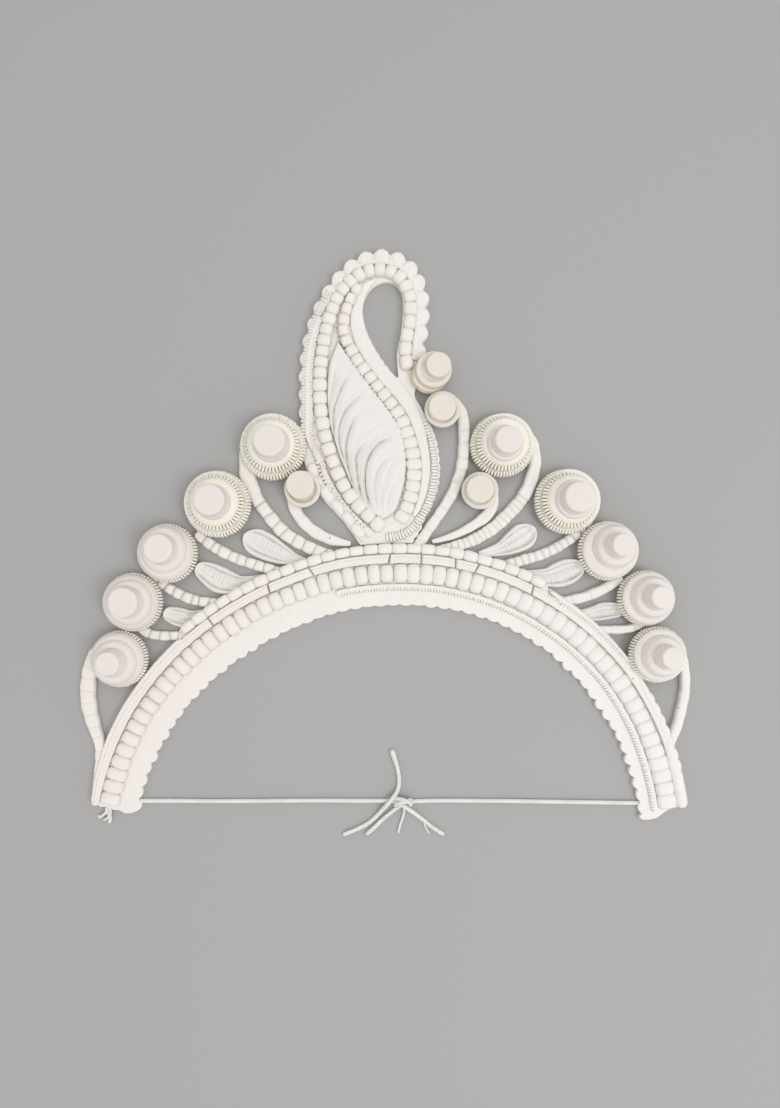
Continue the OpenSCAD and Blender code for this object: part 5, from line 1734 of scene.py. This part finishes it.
def twisted(name, route, diameter, lay=LAY_LENGTH, widths=EVEN_WIDTHS):
    """A cord of twisted strands along a route, closed and rounded at both ends."""
    line = smooth(route, 8)
    own = run_of(line, 3)
    total = own[-1]
    runs = np.linspace(0, total, max(8, int(total / CORD_STEP)))
    line = np.column_stack([np.interp(runs, own, column) for column in line.T])
    ahead = np.gradient(line, axis=0)
    ahead /= np.linalg.norm(ahead, axis=1)[:, None]
    side = np.cross((0, 0, 1.0), ahead)
    side /= np.linalg.norm(side, axis=1)[:, None]
    up = np.cross(ahead, side)
    angles = np.linspace(0, 2 * math.pi, CORD_SIDES, endpoint=False)
    turn = 2 * math.pi * runs / lay
    lobe = np.abs(np.cos(STRANDS / 2 * (angles[None, :] - turn[:, None])))
    radius = diameter / 2 * (BETWEEN_STRANDS + STRAND_SWELL * lobe)
    end = np.minimum(runs, total - runs)
    taper = np.sqrt(np.clip(end / (0.45 * diameter), 0.05, 1))
    taper = taper * np.interp(runs / total, [w[0] for w in widths], [w[1] for w in widths])
    radius = radius * taper[:, None]
    around = np.cos(angles)[None, :, None] * side[:, None, :] + np.sin(angles)[None, :, None] * up[:, None, :]
    sections = line[:, None, :] + radius[:, :, None] * around
    sections[:, :, 2] = np.maximum(sections[:, :, 2], CORD_LOWEST)
    points, faces = loft(sections)
    # The grooves between strands, which the cotton's finish paints with shade
    mesh = make_mesh(name, points, faces, COTTON, (1 - lobe) ** 2)
    return mesh, line, total


def make_tie():
    knot_mesh = twisted("knot", KNOT_ROUTE, 1.7)[0]
    wrap_mesh = twisted("wrap", WRAP_ROUTE, 1.6)[0]
    knot = make_piece("cotton_knot", [knot_mesh, wrap_mesh], ["tie_knot"])
    yarn_mesh = twisted("yarn", YARN_ROUTE, 1.1, lay=3.5)[0]
    branch_mesh = twisted("branch", BRANCH_ROUTE, 0.9, lay=3.0)[0]
    tuft_meshes = [twisted("tuft", route, width, lay=3.0)[0] for route, width in TUFT]
    make_piece("cotton_tuft", tuft_meshes, [])
    yarn = make_piece("cotton_yarn", [yarn_mesh], [])
    branch = make_piece("cotton_branch", [branch_mesh], [])
    for name, route, widths, with_pieces in (
            ("tie_left", TIE_LEFT, EVEN_WIDTHS, [knot, branch]),
            ("tie_right", TIE_RIGHT, EVEN_WIDTHS, [yarn]),
            ("tie_tail", TIE_TAIL, TAIL_WIDTHS, [])):
        mesh, line, total = twisted(name, route, CORD_D, widths=widths)
        cord = make_piece("cotton_" + name, [mesh], [name])
        in_frame(line).tolist()


make_tie()
make_band()
make_paisley()
make_stems()
make_petals()
for index, name in enumerate(BIG_BUTTONS):
    make_big_button(name, 40 + 5 * index)
for name, steps in SMALL_BUTTONS.items():
    make_small_button(name, steps)


# Floor and light, in metres of the frame

FLOOR_REACH = 4.0
FLOOR_GREY = (0.43, 0.425, 0.42, 1)
# Lights: name, place, width and power. The key light stands to the lower right.
LIGHTS = [
    ("key", (0.5, -0.3, 0.95), 0.45, 2.9),
    ("front", (0.05, -0.05, 1.5), 0.9, 2.4),
]
SKY_WHITE = (1, 0.99, 0.98, 1)
SKY_STRENGTH = 0.74


def make_floor():
    mesh = bpy.data.meshes.new("floor")
    corners = [(x * FLOOR_REACH, y * FLOOR_REACH, 0) for x, y in ((-1, -1), (1, -1), (1, 1), (-1, 1))]
    mesh.from_pydata(corners, [], [(0, 1, 2, 3)])
    material, _, shader = begin_finish("pale_floor")
    shader["Base Color"].default_value = FLOOR_GREY
    shader["Roughness"].default_value = 0.9
    shader["Specular IOR Level"].default_value = 0.1
    mesh.materials.append(material)
    floor = bpy.data.objects.new("floor", mesh)
    bpy.context.scene.collection.objects.link(floor)


def make_light(name, place, size, power):
    data = bpy.data.lights.new(name, "AREA")
    data.shape = "DISK"
    data.size = size
    data.energy = power
    light = bpy.data.objects.new(name, data)
    light.location = place
    light.rotation_mode = "QUATERNION"
    light.rotation_quaternion = (-Vector(place)).to_track_quat("-Z", "Y")
    bpy.context.scene.collection.objects.link(light)


def make_stage():
    make_floor()
    for name, place, size, power in LIGHTS:
        make_light(name, place, size, power)
    world = bpy.data.worlds.new("studio")
    world.use_nodes = True
    sky = world.node_tree.nodes["Background"]
    sky.inputs["Color"].default_value = SKY_WHITE
    sky.inputs["Strength"].default_value = SKY_STRENGTH
    bpy.context.scene.world = world
    bpy.context.scene.view_settings.view_transform = "Standard"


make_stage()
